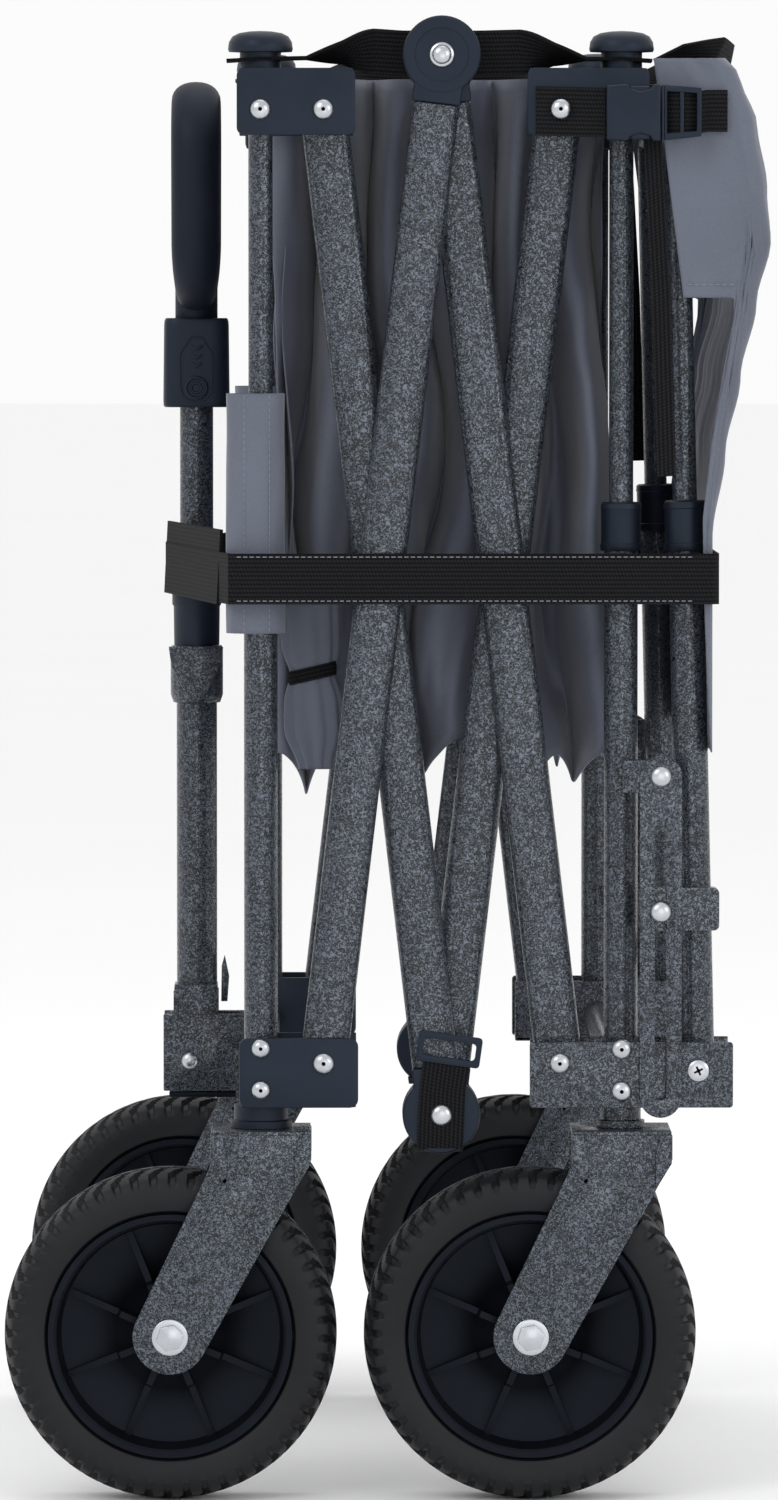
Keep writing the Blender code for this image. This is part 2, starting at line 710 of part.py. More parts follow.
shapes = []
for _, side in SIDES:
    y = side * POST_Y
    shapes.append(made(tube, gate_point(0.262, y), gate_point(0.514, y), INNER_OD / 2, INNER_ID / 2, 12))
ends = [gate_point(0.5040, side * top_reach) for _, side in SIDES]
shapes.append(made(tube, *ends, INNER_OD / 2 - 0.0003, INNER_ID / 2, 12))
assemble("tailgate_upper_loop", HAMMERED, shapes, (), gate_origin)

# Pull handle
handle_origin = (HANDLE_PIVOT[0], 0.0, HANDLE_PIVOT[1])
outer, inner = HANDLE_OUTER
ends = [(HANDLE_X, 0, z) for z in HANDLE_LOW_Z]
shapes = [made(tube, *ends, outer, inner, 16)]
cheek = [(-0.1252, 0.2205), (-0.1205, 0.2075), (-0.1020, 0.2075), (-0.0975, 0.2205)]
cheek += [(-0.0975, 0.2566), (-0.1252, 0.2566)]
shapes += [made(prism, cheek, side * 0.0108, side * 0.0128) for side in (NEAR, FAR)]
ferrule = [(0.0105, 0.4200), (0.0146, 0.4200), (0.0146, 0.4490), (0.0105, 0.4490)]
shapes.append(made(turned, ferrule, (HANDLE_X, 0, 0), (0, 0, 1), 12, ring=True))
x, z = HANDLE_PIVOT
pin_hole = made(rod, (x, -0.020, z), (x, 0.020, z), 0.0034, 12)
assemble("handle_lower_tube", HAMMERED, shapes, [pin_hole], handle_origin)

bore = HANDLE_INNER[0] + 0.0004
profile = [(bore, 0.4500), (0.0140, 0.4500), (0.0140, 0.4860), (bore, 0.4860)]
shape = made(turned, profile, (HANDLE_X, 0, 0), (0, 0, 1), 12, ring=True)
assemble("handle_collar", BLACK_PLASTIC, [shape], (), handle_origin)

slide_origin = (HANDLE_X, 0, HOUSING_Z[0])
outer, inner = HANDLE_INNER
ends = [(HANDLE_X, 0, z) for z in HANDLE_SLIDE_Z]
assemble("handle_inner_tube", HAMMERED, [made(tube, *ends, outer, inner, 16)], (), slide_origin)

outline = [(-0.124, -0.012), (-0.120, -0.016), (-0.090, -0.016), (-0.086, -0.012)]
outline += [(-0.086, 0.012), (-0.090, 0.016), (-0.120, 0.016), (-0.124, 0.012)]
shape = made(prism, outline, HOUSING_Z[0], HOUSING_Z[1], "z")
bore = made(rod, (HANDLE_X, 0, HOUSING_Z[0] - 0.001), (HANDLE_X, 0, 0.6005), HANDLE_INNER[0] + GAP, 16)
seat = made(rod, (HANDLE_X, -0.018, BUTTON_Z), (HANDLE_X, -0.0105, BUTTON_Z), 0.0074, 16)
assemble("latch_housing", BLACK_PLASTIC, [shape], [bore, seat], slide_origin)

profile = [(0, -0.0188), (0.0058, -0.0188), (0.0070, -0.0180), (0.0070, -0.0148), (0, -0.0148)]
shape = made(turned, profile, (HANDLE_X, 0, BUTTON_Z), (0, 1, 0), 16)
assemble("latch_button", BLACK_PLASTIC, [shape], (), (HANDLE_X, 0, BUTTON_Z))


def grip(bm):
    """Closed D loop across the wagon, slimmer at the foot."""
    rings = []
    for i in range(24):
        a = 2 * math.pi * i / 24
        c, s = math.cos(a), math.sin(a)
        u = 0.050 * math.copysign(abs(c) ** 0.75, c)
        v = 0.0575 * math.copysign(abs(s) ** 0.8, s)
        width = 0.0135 - 0.0025 * max(0.0, -s) ** 3
        ring = []
        for k in range(10):
            b = 2 * math.pi * k / 10
            offset = Vector((width * math.cos(b), 0, 0)) + Vector((0, c, s)) * 0.0105 * math.sin(b)
            ring.append(Vector((HANDLE_X, u, GRIP_Z + v)) + offset)
        rings.append(ring)
    loft(bm, rings, closed=True)


assemble("handle_grip", BLACK_PLASTIC, [made(grip)], (), slide_origin)


def band(bm, path, thickness, low, high):
    """Closed strap standing on edge: an inner and an outer wall round a plan path."""
    rings = []
    count = len(path)
    for i in range(count):
        before, here, after = Vector(path[i - 1]), Vector(path[i]), Vector(path[(i + 1) % count])
        a, b = (here - before).normalized(), (after - here).normalized()
        normal = Vector((a.y + b.y, -a.x - b.x)).normalized()
        outer = here + normal * thickness
        rings.append([(*here, low), (*outer, low), (*outer, high), (*here, high)])
    loft(bm, rings, closed=True)


def cushion(bm, low, high, bevel):
    """A plain box with broken edges, standing for gathered cloth."""
    box(bm, low, high)
    bmesh.ops.recalc_face_normals(bm, faces=bm.faces)
    bmesh.ops.bevel(bm, geom=bm.edges[:], offset=bevel, segments=1, affect="EDGES")


path = [(0.1715, -0.2506), (0.1738, -0.2480), (0.1738, 0.2480), (0.1715, 0.2506)]
path += [(-0.0850, 0.2506), (-0.1212, 0.0120), (-0.1212, -0.0120), (-0.0850, -0.2506)]
assemble("storage_strap", WEBBING, [made(band, path, STRAP_THICK, *STRAP_Z)])

half = CLOTH_HALF_Y
shape = made(cushion, (-0.058, -half, 0.455), (-0.006, half, 0.735), 0.012)
assemble("cloth_front", CLOTH, [shape], (), front_top_origin)
shape = made(cushion, (-0.002, -half, 0.455), (0.056, half, 0.735), 0.012)
assemble("cloth_middle", CLOTH, [shape], (), (MID_X, 0, MID_TOP_Z))
shape = made(cushion, (0.060, -half, 0.455), (0.112, half, 0.735), 0.012)
assemble("cloth_rear", CLOTH, [shape], (), rear_top_origin)
outline = [(0.1712, 0.400), (0.1712, 0.755), (0.186, 0.762), (0.204, 0.735), (0.204, 0.560)]
outline += [(0.196, 0.525), (0.1728, 0.512), (0.1728, 0.475), (0.188, 0.460), (0.190, 0.425), (0.180, 0.400)]
assemble("tailgate_cloth", CLOTH, [made(prism, outline, -0.205, 0.205)], (), gate_origin)

# Side-release buckle that closes the tailgate, on the near side
web = made(box, (0.0777, -0.2556, 0.7270), (0.1100, -0.2536, 0.7560))
outline = [
    (0.1095, -0.2530),
    (0.1440, -0.2530),
    (0.1440, -0.2550),
    (0.1150, -0.2550),
    (0.1150, -0.2620),
    (0.1440, -0.2620),
    (0.1440, -0.2640),
    (0.1095, -0.2640),
]
shell = made(prism, outline, 0.7240, 0.7590, "z")
eye = made(rod, (REAR_PIVOT_X, -0.2500, TOP_PIVOT_Z), (REAR_PIVOT_X, -0.2570, TOP_PIVOT_Z), 0.0058, 12)
assemble("buckle_socket", BLACK_PLASTIC, [shell, web], [eye], rear_top_origin)

outline = [(0.1170, -0.2565), (0.1450, -0.2565), (0.1450, -0.2545), (0.1655, -0.2545), (0.1655, -0.2575)]
outline += [(0.1480, -0.2575), (0.1480, -0.2607), (0.1170, -0.2607)]
assemble("buckle_plug", BLACK_PLASTIC, [made(prism, outline, 0.7280, 0.7550, "z")], (), gate_origin)
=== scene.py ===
import json
import math

import bmesh
import bpy
from mathutils import Euler, Matrix, Vector, noise


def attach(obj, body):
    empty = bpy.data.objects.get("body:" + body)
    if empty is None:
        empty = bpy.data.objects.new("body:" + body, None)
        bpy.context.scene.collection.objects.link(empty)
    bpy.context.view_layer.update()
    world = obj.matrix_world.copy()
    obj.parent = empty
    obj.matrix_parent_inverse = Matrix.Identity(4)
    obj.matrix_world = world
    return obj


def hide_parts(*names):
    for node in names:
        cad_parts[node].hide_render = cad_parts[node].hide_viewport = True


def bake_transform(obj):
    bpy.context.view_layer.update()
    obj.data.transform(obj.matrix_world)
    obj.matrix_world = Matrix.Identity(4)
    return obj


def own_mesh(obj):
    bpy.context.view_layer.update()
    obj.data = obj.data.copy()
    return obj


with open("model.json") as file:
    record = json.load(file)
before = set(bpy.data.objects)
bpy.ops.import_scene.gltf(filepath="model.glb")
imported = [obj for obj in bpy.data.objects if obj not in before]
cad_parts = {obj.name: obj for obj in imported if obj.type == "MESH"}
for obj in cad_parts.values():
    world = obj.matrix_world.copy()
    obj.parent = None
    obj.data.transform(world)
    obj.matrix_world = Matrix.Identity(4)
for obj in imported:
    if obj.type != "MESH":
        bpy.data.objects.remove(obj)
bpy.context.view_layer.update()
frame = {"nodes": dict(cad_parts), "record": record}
scene = bpy.context.scene
print("frame loaded", len(frame["nodes"]))

near, far = -1, 1
sides = (("near", near), ("far", far))

# Camera, a long lens a little above the middle of the wagon
cameraSet = {"at": (-0.030, -5.25, 0.640), "look": (0.0014, 0.0, 0.3905), "lens": 225.6}
cameraData = bpy.data.cameras.new("camera")
cameraData.lens = cameraSet["lens"]
cameraData.clip_end = 60
camera = bpy.data.objects.new("camera", cameraData)
scene.collection.objects.link(camera)
camera.location = cameraSet["at"]
camera.rotation_euler = (
    Vector(cameraSet["look"]) - Vector(cameraSet["at"])
).to_track_quat("-Z", "Y").to_euler()
scene.camera = camera

# Studio
studio = {
    "floor": 0.93,
    "world": 0.97,
    "lights": (
        ("key", (-2.2, -3.4, 3.0), 2.0, 40),
        ("fill", (2.8, -3.2, 1.4), 1.6, 22),
        ("top", (0.2, 0.4, 3.4), 2.4, 18),
        ("low", (0.3, -3.0, 0.35), 1.2, 5),
    ),
}
scene.view_settings.view_transform = "Standard"
world = bpy.data.worlds.new("studio")
scene.world = world
world.use_nodes = True
world.node_tree.nodes["Background"].inputs["Color"].default_value = (1, 1, 1, 1)
world.node_tree.nodes["Background"].inputs["Strength"].default_value = studio["world"]
for lightName, place, size, power in studio["lights"]:
    lamp = bpy.data.lights.new(lightName, "AREA")
    lamp.size = size
    lamp.energy = power
    holder = bpy.data.objects.new(lightName, lamp)
    holder.location = place
    holder.rotation_euler = (Vector((0, 0, 0.4)) - Vector(place)).to_track_quat("-Z", "Y").to_euler()
    scene.collection.objects.link(holder)
print("studio set")


# Shader graphs
class Wire:
    def __init__(self, graph, socket):
        self.graph = graph
        self.socket = socket

    def maths(self, operation, *others, clamp=False):
        return self.graph.add("ShaderNodeMath", {"operation": operation, "use_clamp": clamp}, [self, *others])

    def __add__(self, other):
        return self.maths("ADD", other)

    def __radd__(self, other):
        return self.graph.wrap(other).maths("ADD", self)

    def __sub__(self, other):
        return self.maths("SUBTRACT", other)

    def __rsub__(self, other):
        return self.graph.wrap(other).maths("SUBTRACT", self)

    def __mul__(self, other):
        return self.maths("MULTIPLY", other)

    def __rmul__(self, other):
        return self.graph.wrap(other).maths("MULTIPLY", self)

    def __truediv__(self, other):
        return self.maths("DIVIDE", other)

    def __pow__(self, other):
        return self.maths("POWER", other)

    def fade(self, low, high):
        settings = {"interpolation_type": "SMOOTHSTEP"}
        return self.graph.add("ShaderNodeMapRange", settings, [self, low, high, 0.0, 1.0])


class Graph:
    def __init__(self, name):
        self.material = bpy.data.materials.new(name)
        self.material.use_nodes = True
        self.tree = self.material.node_tree
        self.shader = self.tree.nodes["Principled BSDF"]

    def wrap(self, value):
        node = self.tree.nodes.new("ShaderNodeValue")
        node.outputs[0].default_value = value
        return Wire(self, node.outputs[0])

    def add(self, kind, settings=None, inputs=(), output=0):
        node = self.tree.nodes.new(kind)
        for key, value in (settings or {}).items():
            setattr(node, key, value)
        pairs = inputs.items() if isinstance(inputs, dict) else enumerate(inputs)
        for key, value in pairs:
            if isinstance(value, Wire):
                self.tree.links.new(value.socket, node.inputs[key])
            elif value is not None:
                node.inputs[key].default_value = value
        return Wire(self, node.outputs[output])

    def place(self):
        return self.add("ShaderNodeTexCoord", output="Object")

    def speckle(self, scale, detail=2.0, distortion=0.0, vector=None, roughness=0.5):
        inputs = {"Vector": vector or self.place(), "Scale": scale, "Detail": detail}
        inputs.update({"Distortion": distortion, "Roughness": roughness})
        return self.add("ShaderNodeTexNoise", None, inputs)

    def cells(self, scale, feature="F1", vector=None):
        inputs = {"Vector": vector or self.place(), "Scale": scale}
        return self.add("ShaderNodeTexVoronoi", {"feature": feature}, inputs, output="Distance")

    def blendColour(self, factor, first, second):
        node = self.tree.nodes.new("ShaderNodeMix")
        node.data_type = "RGBA"
        self.tree.links.new(factor.socket, node.inputs[0])
        for index, value in ((6, first), (7, second)):
            if isinstance(value, Wire):
                self.tree.links.new(value.socket, node.inputs[index])
            else:
                node.inputs[index].default_value = (*value, 1.0)
        return Wire(self, node.outputs[2])

    def split(self, vector, axis):
        return self.add("ShaderNodeSeparateXYZ", None, [vector], output=axis)

    def bump(self, height, strength, distance, normal=None):
        inputs = {"Strength": strength, "Distance": distance, "Height": height}
        if normal:
            inputs["Normal"] = normal
        return self.add("ShaderNodeBump", None, inputs)

    def finish(self, constants, linked):
        for key, value in constants.items():
            self.shader.inputs[key].default_value = value
        for key, wire in linked.items():
            self.tree.links.new(wire.socket, self.shader.inputs[key])
        return self.material


def hammeredPaint():
    settings = {"light": (0.088, 0.106, 0.132), "deep": (0.0022, 0.0028, 0.0045), "grain": 520.0}
    g = Graph("hammered")
    worm = g.speckle(settings["grain"], 1.5, 1.2)
    ridge = (worm - 0.5).maths("ABSOLUTE")
    line = 1.0 - ridge.fade(0.030, 0.090)
    pits = 1.0 - g.cells(settings["grain"] * 0.85).fade(0.14, 0.46)
    broad = g.speckle(45.0, 2.0)
    dark = line.maths("MAXIMUM", pits * 0.80)
    colour = g.blendColour(dark * (0.86 + broad * 0.28), settings["light"], settings["deep"])
    normal = g.bump(1.0 - dark, 0.60, 0.0005)
    rough = 0.24 + dark * 0.20
    return g.finish(
        {"Metallic": 0.55, "Coat Weight": 0.30, "Coat Roughness": 0.16},
        {"Base Color": colour, "Normal": normal, "Roughness": rough},
    )


def mouldedPlastic(name, colour, roughness, worn, shine):
    g = Graph(name)
    grain = g.speckle(1900.0, 2.0)
    patch = g.speckle(38.0, 3.0)
    tone = g.blendColour(patch.fade(0.35, 0.75), colour, worn)
    normal = g.bump(grain, 0.18, 0.0002)
    return g.finish(
        {"Specular IOR Level": shine, "Specular Tint": (0.62, 0.76, 1.0, 1.0)},
        {"Base Color": tone, "Normal": normal, "Roughness": roughness + patch * 0.16},
    )


def zincPlate():
    g = Graph("zinc")
    brushed = g.speckle(900.0, 3.0, 0.4)
    patch = g.speckle(160.0, 2.0)
    tone = g.blendColour(patch, (0.40, 0.42, 0.45), (0.56, 0.58, 0.61))
    normal = g.bump(brushed, 0.12, 0.0002)
    return g.finish(
        {"Metallic": 1.0}, {"Base Color": tone, "Normal": normal, "Roughness": 0.20 + patch * 0.2},
    )


def tyreRubber():
    g = Graph("rubber")
    grain = g.speckle(1100.0, 3.0)
    dust = g.speckle(26.0, 4.0)
    tone = g.blendColour(dust.fade(0.3, 0.8), (0.0040, 0.0044, 0.0058), (0.0082, 0.0090, 0.0112))
    normal = g.bump(grain, 0.16, 0.0003)
    return g.finish(
        {"Specular IOR Level": 0.24},
        {"Base Color": tone, "Normal": normal, "Roughness": 0.42 + dust * 0.2},
    )


def wovenCloth():
    g = Graph("woven cloth")
    uv = g.add("ShaderNodeUVMap")
    u, v = g.split(uv, 0), g.split(uv, 1)
    twill = ((u + v) * 5200.0).maths("SINE") * 0.5 + 0.5
    warp = ((u - v * 0.4) * 9000.0).maths("SINE") * 0.5 + 0.5
    fleck = g.speckle(1500.0, 3.0)
    soft = g.speckle(22.0, 3.0)
    weave = twill * 0.6 + warp * 0.4
    mixed = (weave * 0.35 + fleck * 0.45 + soft * 0.35).fade(0.2, 0.95)
    tone = g.blendColour(mixed, (0.070, 0.080, 0.108), (0.128, 0.143, 0.186))
    crease = g.bump(soft, 0.25, 0.004)
    normal = g.bump(weave * 0.5 + fleck * 0.5, 0.30, 0.0003, crease)
    return g.finish(
        {"Sheen Weight": 0.25, "Sheen Roughness": 0.4},
        {"Base Color": tone, "Normal": normal, "Roughness": 0.72 + soft * 0.15},
    )


def blackWebbing():
    g = Graph("webbing")
    uv = g.add("ShaderNodeUVMap")
    u, v = g.split(uv, 0), g.split(uv, 1)
    rows = (v * 2800.0).maths("SINE") * 0.5 + 0.5
    picks = ((u + v * 0.3) * 3600.0).maths("SINE") * 0.5 + 0.5
    fleck = g.speckle(1300.0, 2.0)
    weave = rows * 0.6 + picks * 0.4
    tone = g.blendColour(
        (weave * 0.6 + fleck * 0.5).fade(0.3, 1.0), (0.0015, 0.0015, 0.0020), (0.0145, 0.0150, 0.0175),
    )
    normal = g.bump(weave + fleck * 0.4, 0.65, 0.0004)
    return g.finish(
        {"Specular IOR Level": 0.12},
        {"Base Color": tone, "Normal": normal, "Roughness": 0.70 + fleck * 0.2},
    )


def threadMaterial():
    g = Graph("thread")
    fleck = g.speckle(2500.0, 2.0)
    tone = g.blendColour(fleck, (0.10, 0.11, 0.13), (0.22, 0.23, 0.26))
    return g.finish({}, {"Base Color": tone, "Roughness": 0.6 + fleck * 0.2})


def studioFloor():
    g = Graph("studio floor")
    haze = g.speckle(1.5, 2.0)
    tone = g.blendColour(haze, (studio["floor"],) * 3, (studio["floor"] + 0.02,) * 3)
    return g.finish({"Roughness": 0.9}, {"Base Color": tone})


paint = hammeredPaint()
plastic = mouldedPlastic("black plastic", (0.0050, 0.0068, 0.0118), 0.36, (0.0078, 0.0102, 0.0165), 0.34)
rimPlastic = mouldedPlastic("rim plastic", (0.0022, 0.0026, 0.0036), 0.32, (0.0042, 0.0048, 0.0062), 0.16)
gripRubber = mouldedPlastic("grip", (0.0052, 0.0066, 0.0108), 0.44, (0.0080, 0.0098, 0.0150), 0.26)
zinc = zincPlate()
rubber = tyreRubber()
cloth = wovenCloth()
webbing = blackWebbing()
thread = threadMaterial()

floorMesh = bpy.data.meshes.new("floor")
floorSpan = 60.0
floorMesh.from_pydata(
    [
        (-floorSpan, -floorSpan, 0), (floorSpan, -floorSpan, 0), (floorSpan, floorSpan, 0),
        (-floorSpan, floorSpan, 0),
    ],
    [], [(0, 1, 2, 3)],
)
floor = bpy.data.objects.new("floor", floorMesh)
scene.collection.objects.link(floor)
floorMesh.materials.append(studioFloor())
print("materials made")


# Shape helpers
def loft(bm, rings, closed=False):
    rows = [[bm.verts.new(p) for p in ring] for ring in rings]
    count = len(rows[0])
    pairs = list(zip(rows, rows[1:]))
    if closed:
        pairs.append((rows[-1], rows[0]))
    for a, b in pairs:
        for i in range(count):
            j = (i + 1) % count
            bm.faces.new((a[i], a[j], b[j], b[i]))
    if not closed:
        bm.faces.new(rows[0])
        bm.faces.new(list(reversed(rows[-1])))


def prism(bm, outline, low, high, normal="y"):
    put = {
        "x": lambda u, v, h: (h, u, v),
        "y": lambda u, v, h: (u, h, v),
        "z": lambda u, v, h: (u, v, h),
    }[normal]
    loft(bm, [[put(u, v, h) for u, v in outline] for h in (low, high)])


def block(bm, low, high):
    x0, y0, z0 = low
    x1, y1, z1 = high
    prism(bm, [(x0, y0), (x1, y0), (x1, y1), (x0, y1)], z0, z1, "z")


def turned(bm, profile, centre, axis, steps, ring=False):
    turn = Vector((0, 0, 1)).rotation_difference(Vector(axis)).to_matrix()
    rings = []
    for i in range(steps):
        a = 2 * math.pi * i / steps
        points = [Vector((r * math.cos(a), r * math.sin(a), h)) for r, h in profile]
        rings.append([Vector(centre) + turn @ p for p in points])
    if ring:
        loft(bm, rings, closed=True)
        return
    poles = {k: bm.verts.new(rings[0][k]) for k in range(len(profile)) if profile[k][0] < 1e-7}
    grid = [[poles.get(k) or bm.verts.new(ring[k]) for k in range(len(profile))] for ring in rings]
    for i in range(steps):
        j = (i + 1) % steps
        for k in range(len(profile) - 1):
            corners = []
            for v in (grid[i][k], grid[i][k + 1], grid[j][k + 1], grid[j][k]):
                if v not in corners:
                    corners.append(v)
            if len(corners) > 2:
                bm.faces.new(corners)


def tube(bm, start, end, outer, inner, steps=32):
    start, end = Vector(start), Vector(end)
    length = (end - start).length
    lip = min(0.0004, (outer - inner) / 3)
    profile = [
        (outer, lip), (outer, length - lip), (outer - lip, length), (inner, length), (inner, 0),
        (outer - lip, 0),
    ]
    turned(bm, profile, start, end - start, steps, ring=True)


def rod(bm, start, end, radius, steps=24):
    start, end = Vector(start), Vector(end)
    length = (end - start).length
    turned(bm, [(0, 0), (radius, 0), (radius, length), (0, length)], start, end - start, steps)


def roundedBox(x0, z0, x1, z1, radius, steps=5):
    points = []
    for cx, cz, start in (
        (x1 - radius, z1 - radius, 0),
        (x0 + radius, z1 - radius, 90),
        (x0 + radius, z0 + radius, 180),
        (x1 - radius, z0 + radius, 270),
    ):
        for i in range(steps + 1):
            a = math.radians(start + 90 * i / steps)
            points.append((cx + radius * math.cos(a), cz + radius * math.sin(a)))
    return points


def made(build, *arguments, **options):
    bm = bmesh.new()
    build(bm, *arguments, **options)
    return bm


def joined(*parts):
    whole = bmesh.new()
    for bm in parts:
        carrier = bpy.data.meshes.new("carrier")
        bm.to_mesh(carrier)
        bm.free()
        whole.from_mesh(carrier)
        bpy.data.meshes.remove(carrier)
    return whole


def sharpen(mesh, angle):
    for polygon in mesh.polygons:
        polygon.use_smooth = True
    mesh.set_sharp_from_angle(angle=math.radians(angle))


def show(name, bm, material, body, replaced=(), bevel=None, angle=35, steps=2):
    bmesh.ops.recalc_face_normals(bm, faces=bm.faces)
    mesh = bpy.data.meshes.new(name)
    bm.to_mesh(mesh)
    bm.free()
    mesh.materials.append(material)
    piece = bpy.data.objects.new(name, mesh)
    scene.collection.objects.link(piece)
    if bevel:
        edge = piece.modifiers.new("edges", "BEVEL")
        edge.width = bevel
        edge.segments = steps
        edge.limit_method = "ANGLE"
        edge.angle_limit = math.radians(40)
        edge.harden_normals = False
        graph = bpy.context.evaluated_depsgraph_get()
        piece.data = bpy.data.meshes.new_from_object(piece.evaluated_get(graph))
        piece.modifiers.clear()
    sharpen(piece.data, angle)
    if body:
        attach(piece, body)
    if replaced:
        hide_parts(*replaced)
    return piece


# Linkage points, in metres
frontLow, frontTop = (-0.035, 0.235), (-0.035, 0.743)
rearLow, rearTop = (0.091, 0.235), (0.091, 0.743)
midTop, midLow = (0.028, 0.772), (0.028, 0.206)
share = (0.743 - 0.235) / (2 * (0.772 - 0.235))
frontCross = (-0.035 + share * 0.063, 0.489)
rearCross = (0.091 - share * 0.063, 0.489)
layers = (0.241, 0.228, 0.215)
postY = 0.228
frontPostX, rearPostX = -0.0685, 0.124


# Screws, one set for each body
def crossHead(bm, place, side, radius, depth):
    profile = [(0, depth * 0.55), (radius * 0.16, depth * 0.55)]
    profile += [(radius * 0.2, depth), (radius * 0.55, depth * 0.93), (radius * 0.86, depth * 0.62)]
    profile += [(radius, depth * 0.22), (radius * 0.97, 0), (0, 0)]
    turned(bm, profile, place, (0, side, 0), 24)


# Each screw's cross recess is a thin near-black plate in rim plastic: painted shade standing in for the
# shadowed recess
def paintedShadeCross(place, side, radius, depth, turn):
    bm = bmesh.new()
    for quarter in (0, 90):
        start = len(bm.verts)
        block(bm, (-radius * 0.46, -0.0002, -radius * 0.10), (radius * 0.46, 0.0003, radius * 0.10))
        bm.verts.ensure_lookup_table()
        move = Matrix.Translation(Vector(place) + Vector((0, side * depth * 0.84, 0)))
        spin = Matrix.Rotation(math.radians(turn + quarter), 4, "Y")
        bmesh.ops.transform(bm, matrix=move @ spin, verts=bm.verts[start:])
    return bm


screwSets = {
    "front_frame": [(frontLow, 0.250, 0.0058, 25)] + [
        ((frontPostX, z), 0.250, 0.0052, 50 + z * 900) for z in (0.2207, 0.2430)
    ],
    "front_top": [(frontTop, 0.250, 0.0056, 40), ((frontPostX, 0.743), 0.250, 0.0056, 12)],
    "rear_frame": [(rearLow, 0.250, 0.0056, 30), ((0.165, 0.231), 0.2500, 0.0056, 65)]
    + [((rearPostX, z), 0.250, 0.0055, 10 + z * 700) for z in (0.2200, 0.2425)],
    "rear_top": [(rearTop, 0.2545, 0.0056, 70)],
}
for body, places in screwSets.items():
    heads, paintedShadeRecesses = [], []
    for _, side in sides:
        for (x, z), y, radius, turn in places:
            depth = 0.0010 if x == 0.165 else 0.0034
            heads.append(made(crossHead, (x, side * y, z), side, radius, depth))
            paintedShadeRecesses.append(paintedShadeCross((x, side * y, z), side, radius, depth, turn))
    show(f"screws_{body}", joined(*heads), zinc, body, angle=50)
    # near-black plates give the screw cross recesses their painted shade
    show(f"screw_recess_painted_shade_{body}", joined(*paintedShadeRecesses), rimPlastic, body)


# Rivets
def rivetHead(bm, place, side, radius, depth):
    profile = [
        (0, depth), (radius * 0.35, depth * 0.97), (radius * 0.72, depth * 0.78),
        (radius * 0.95, depth * 0.35),
    ]
    profile += [(radius, 0), (0, 0)]
    turned(bm, profile, place, (0, side, 0), 28)


def washer(bm, place, side, outer, inner, depth):
    turned(
        bm, [(outer, 0), (outer, depth * 0.7), (outer - depth * 0.3, depth), (inner, depth), (inner, 0)],
        place, (0, side, 0), 32, ring=True,
    )


rivetParts = {"bars_a": [], "bars_b": [], "bars_c": [], "tailgate": [], "rear_frame": []}
for _, side in sides:
    rivetParts["bars_a"].append(made(rivetHead, (midTop[0], side * 0.2485, midTop[1]), side, 0.0052, 0.0026))
    rivetParts["bars_a"].append(made(
        washer, (midTop[0], side * 0.2466, midTop[1]), side, 0.0066, 0.003, 0.0016,
    ))
    rivetParts["bars_a"].append(made(
        rivetHead, (frontCross[0], side * 0.2466, frontCross[1]), side, 0.005, 0.0022,
    ))
    rivetParts["bars_b"].append(made(rivetHead, (midLow[0], side * 0.2358, midLow[1]), side, 0.0058, 0.0024))
    rivetParts["bars_b"].append(made(
        washer, (midLow[0], side * 0.2336, midLow[1]), side, 0.0078, 0.003, 0.0018,
    ))
    rivetParts["bars_c"].append(made(
        rivetHead, (rearCross[0], side * 0.2336, rearCross[1]), side, 0.005, 0.0022,
    ))
    rivetParts["tailgate"].append(made(rivetHead, (0.1447, side * 0.2536, 0.316), side, 0.0056, 0.0026))
    rivetParts["rear_frame"].append(made(rivetHead, (0.1447, side * 0.2538, 0.3883), side, 0.0056, 0.0026))
for body, parts in rivetParts.items():
    show(f"rivets_{body}", joined(*parts), zinc, body, angle=50)
print("fasteners made")


# Scissor bars: flat-oval tubes and their plastic ends
barSet = {"width": 0.0252, "thick": 0.011, "wall": 0.0014, "overshoot": 0.010, "neck": 0.026, "disc": 0.0208}


def barAxes(start, end):
    along = Vector((end[0] - start[0], 0, end[1] - start[1])).normalized()
    return along, Vector((along.z, 0, -along.x))


def flatOval(halfWidth, halfThick, steps=10):
    points = []
    straight = halfWidth - halfThick
    for sign, start in ((1, -90), (-1, 90)):
        for i in range(steps + 1):
            a = math.radians(start + 180 * i / steps)
            points.append((sign * straight + halfThick * math.cos(a), halfThick * math.sin(a)))
    return points


def barTube(bm, postPivot, midPivot, y):
    along, across = barAxes(postPivot, midPivot)
    start = Vector((postPivot[0], y, postPivot[1])) - along * barSet["overshoot"]
    end = Vector((midPivot[0], y, midPivot[1])) - along * (barSet["neck"] + 0.0003)
    loops = []
    wall = barSet["wall"]
    for point, inset in (
        (start, 0.0005), (start + along * 0.0005, 0), (end - along * 0.0005, 0), (end, 0.0005), (end, wall),
        (start, wall),
    ):
        section = flatOval(barSet["width"] / 2 - inset, barSet["thick"] / 2 - inset)
        loops.append([point + across * u + Vector((0, v, 0)) for u, v in section])
    loft(bm, loops, closed=True)


def capDisc(bm, pivot, toward, y, disc, thick):
    along, across = barAxes(pivot, toward)
    half = barSet["width"] / 2 + 0.0004
    spread = math.asin(half / disc)
    outline = []
    for i in range(41):
        a = spread + (2 * math.pi - 2 * spread) * i / 40
        outline.append((along * math.cos(a) + across * math.sin(a)) * disc)
    outline.append(along * barSet["neck"] - across * half)
    outline.append(along * barSet["neck"] + across * half)
    centre = Vector((pivot[0], y, pivot[1]))
    loft(bm, [[centre + p + Vector((0, h, 0)) for p in outline] for h in (-thick / 2, thick / 2)])


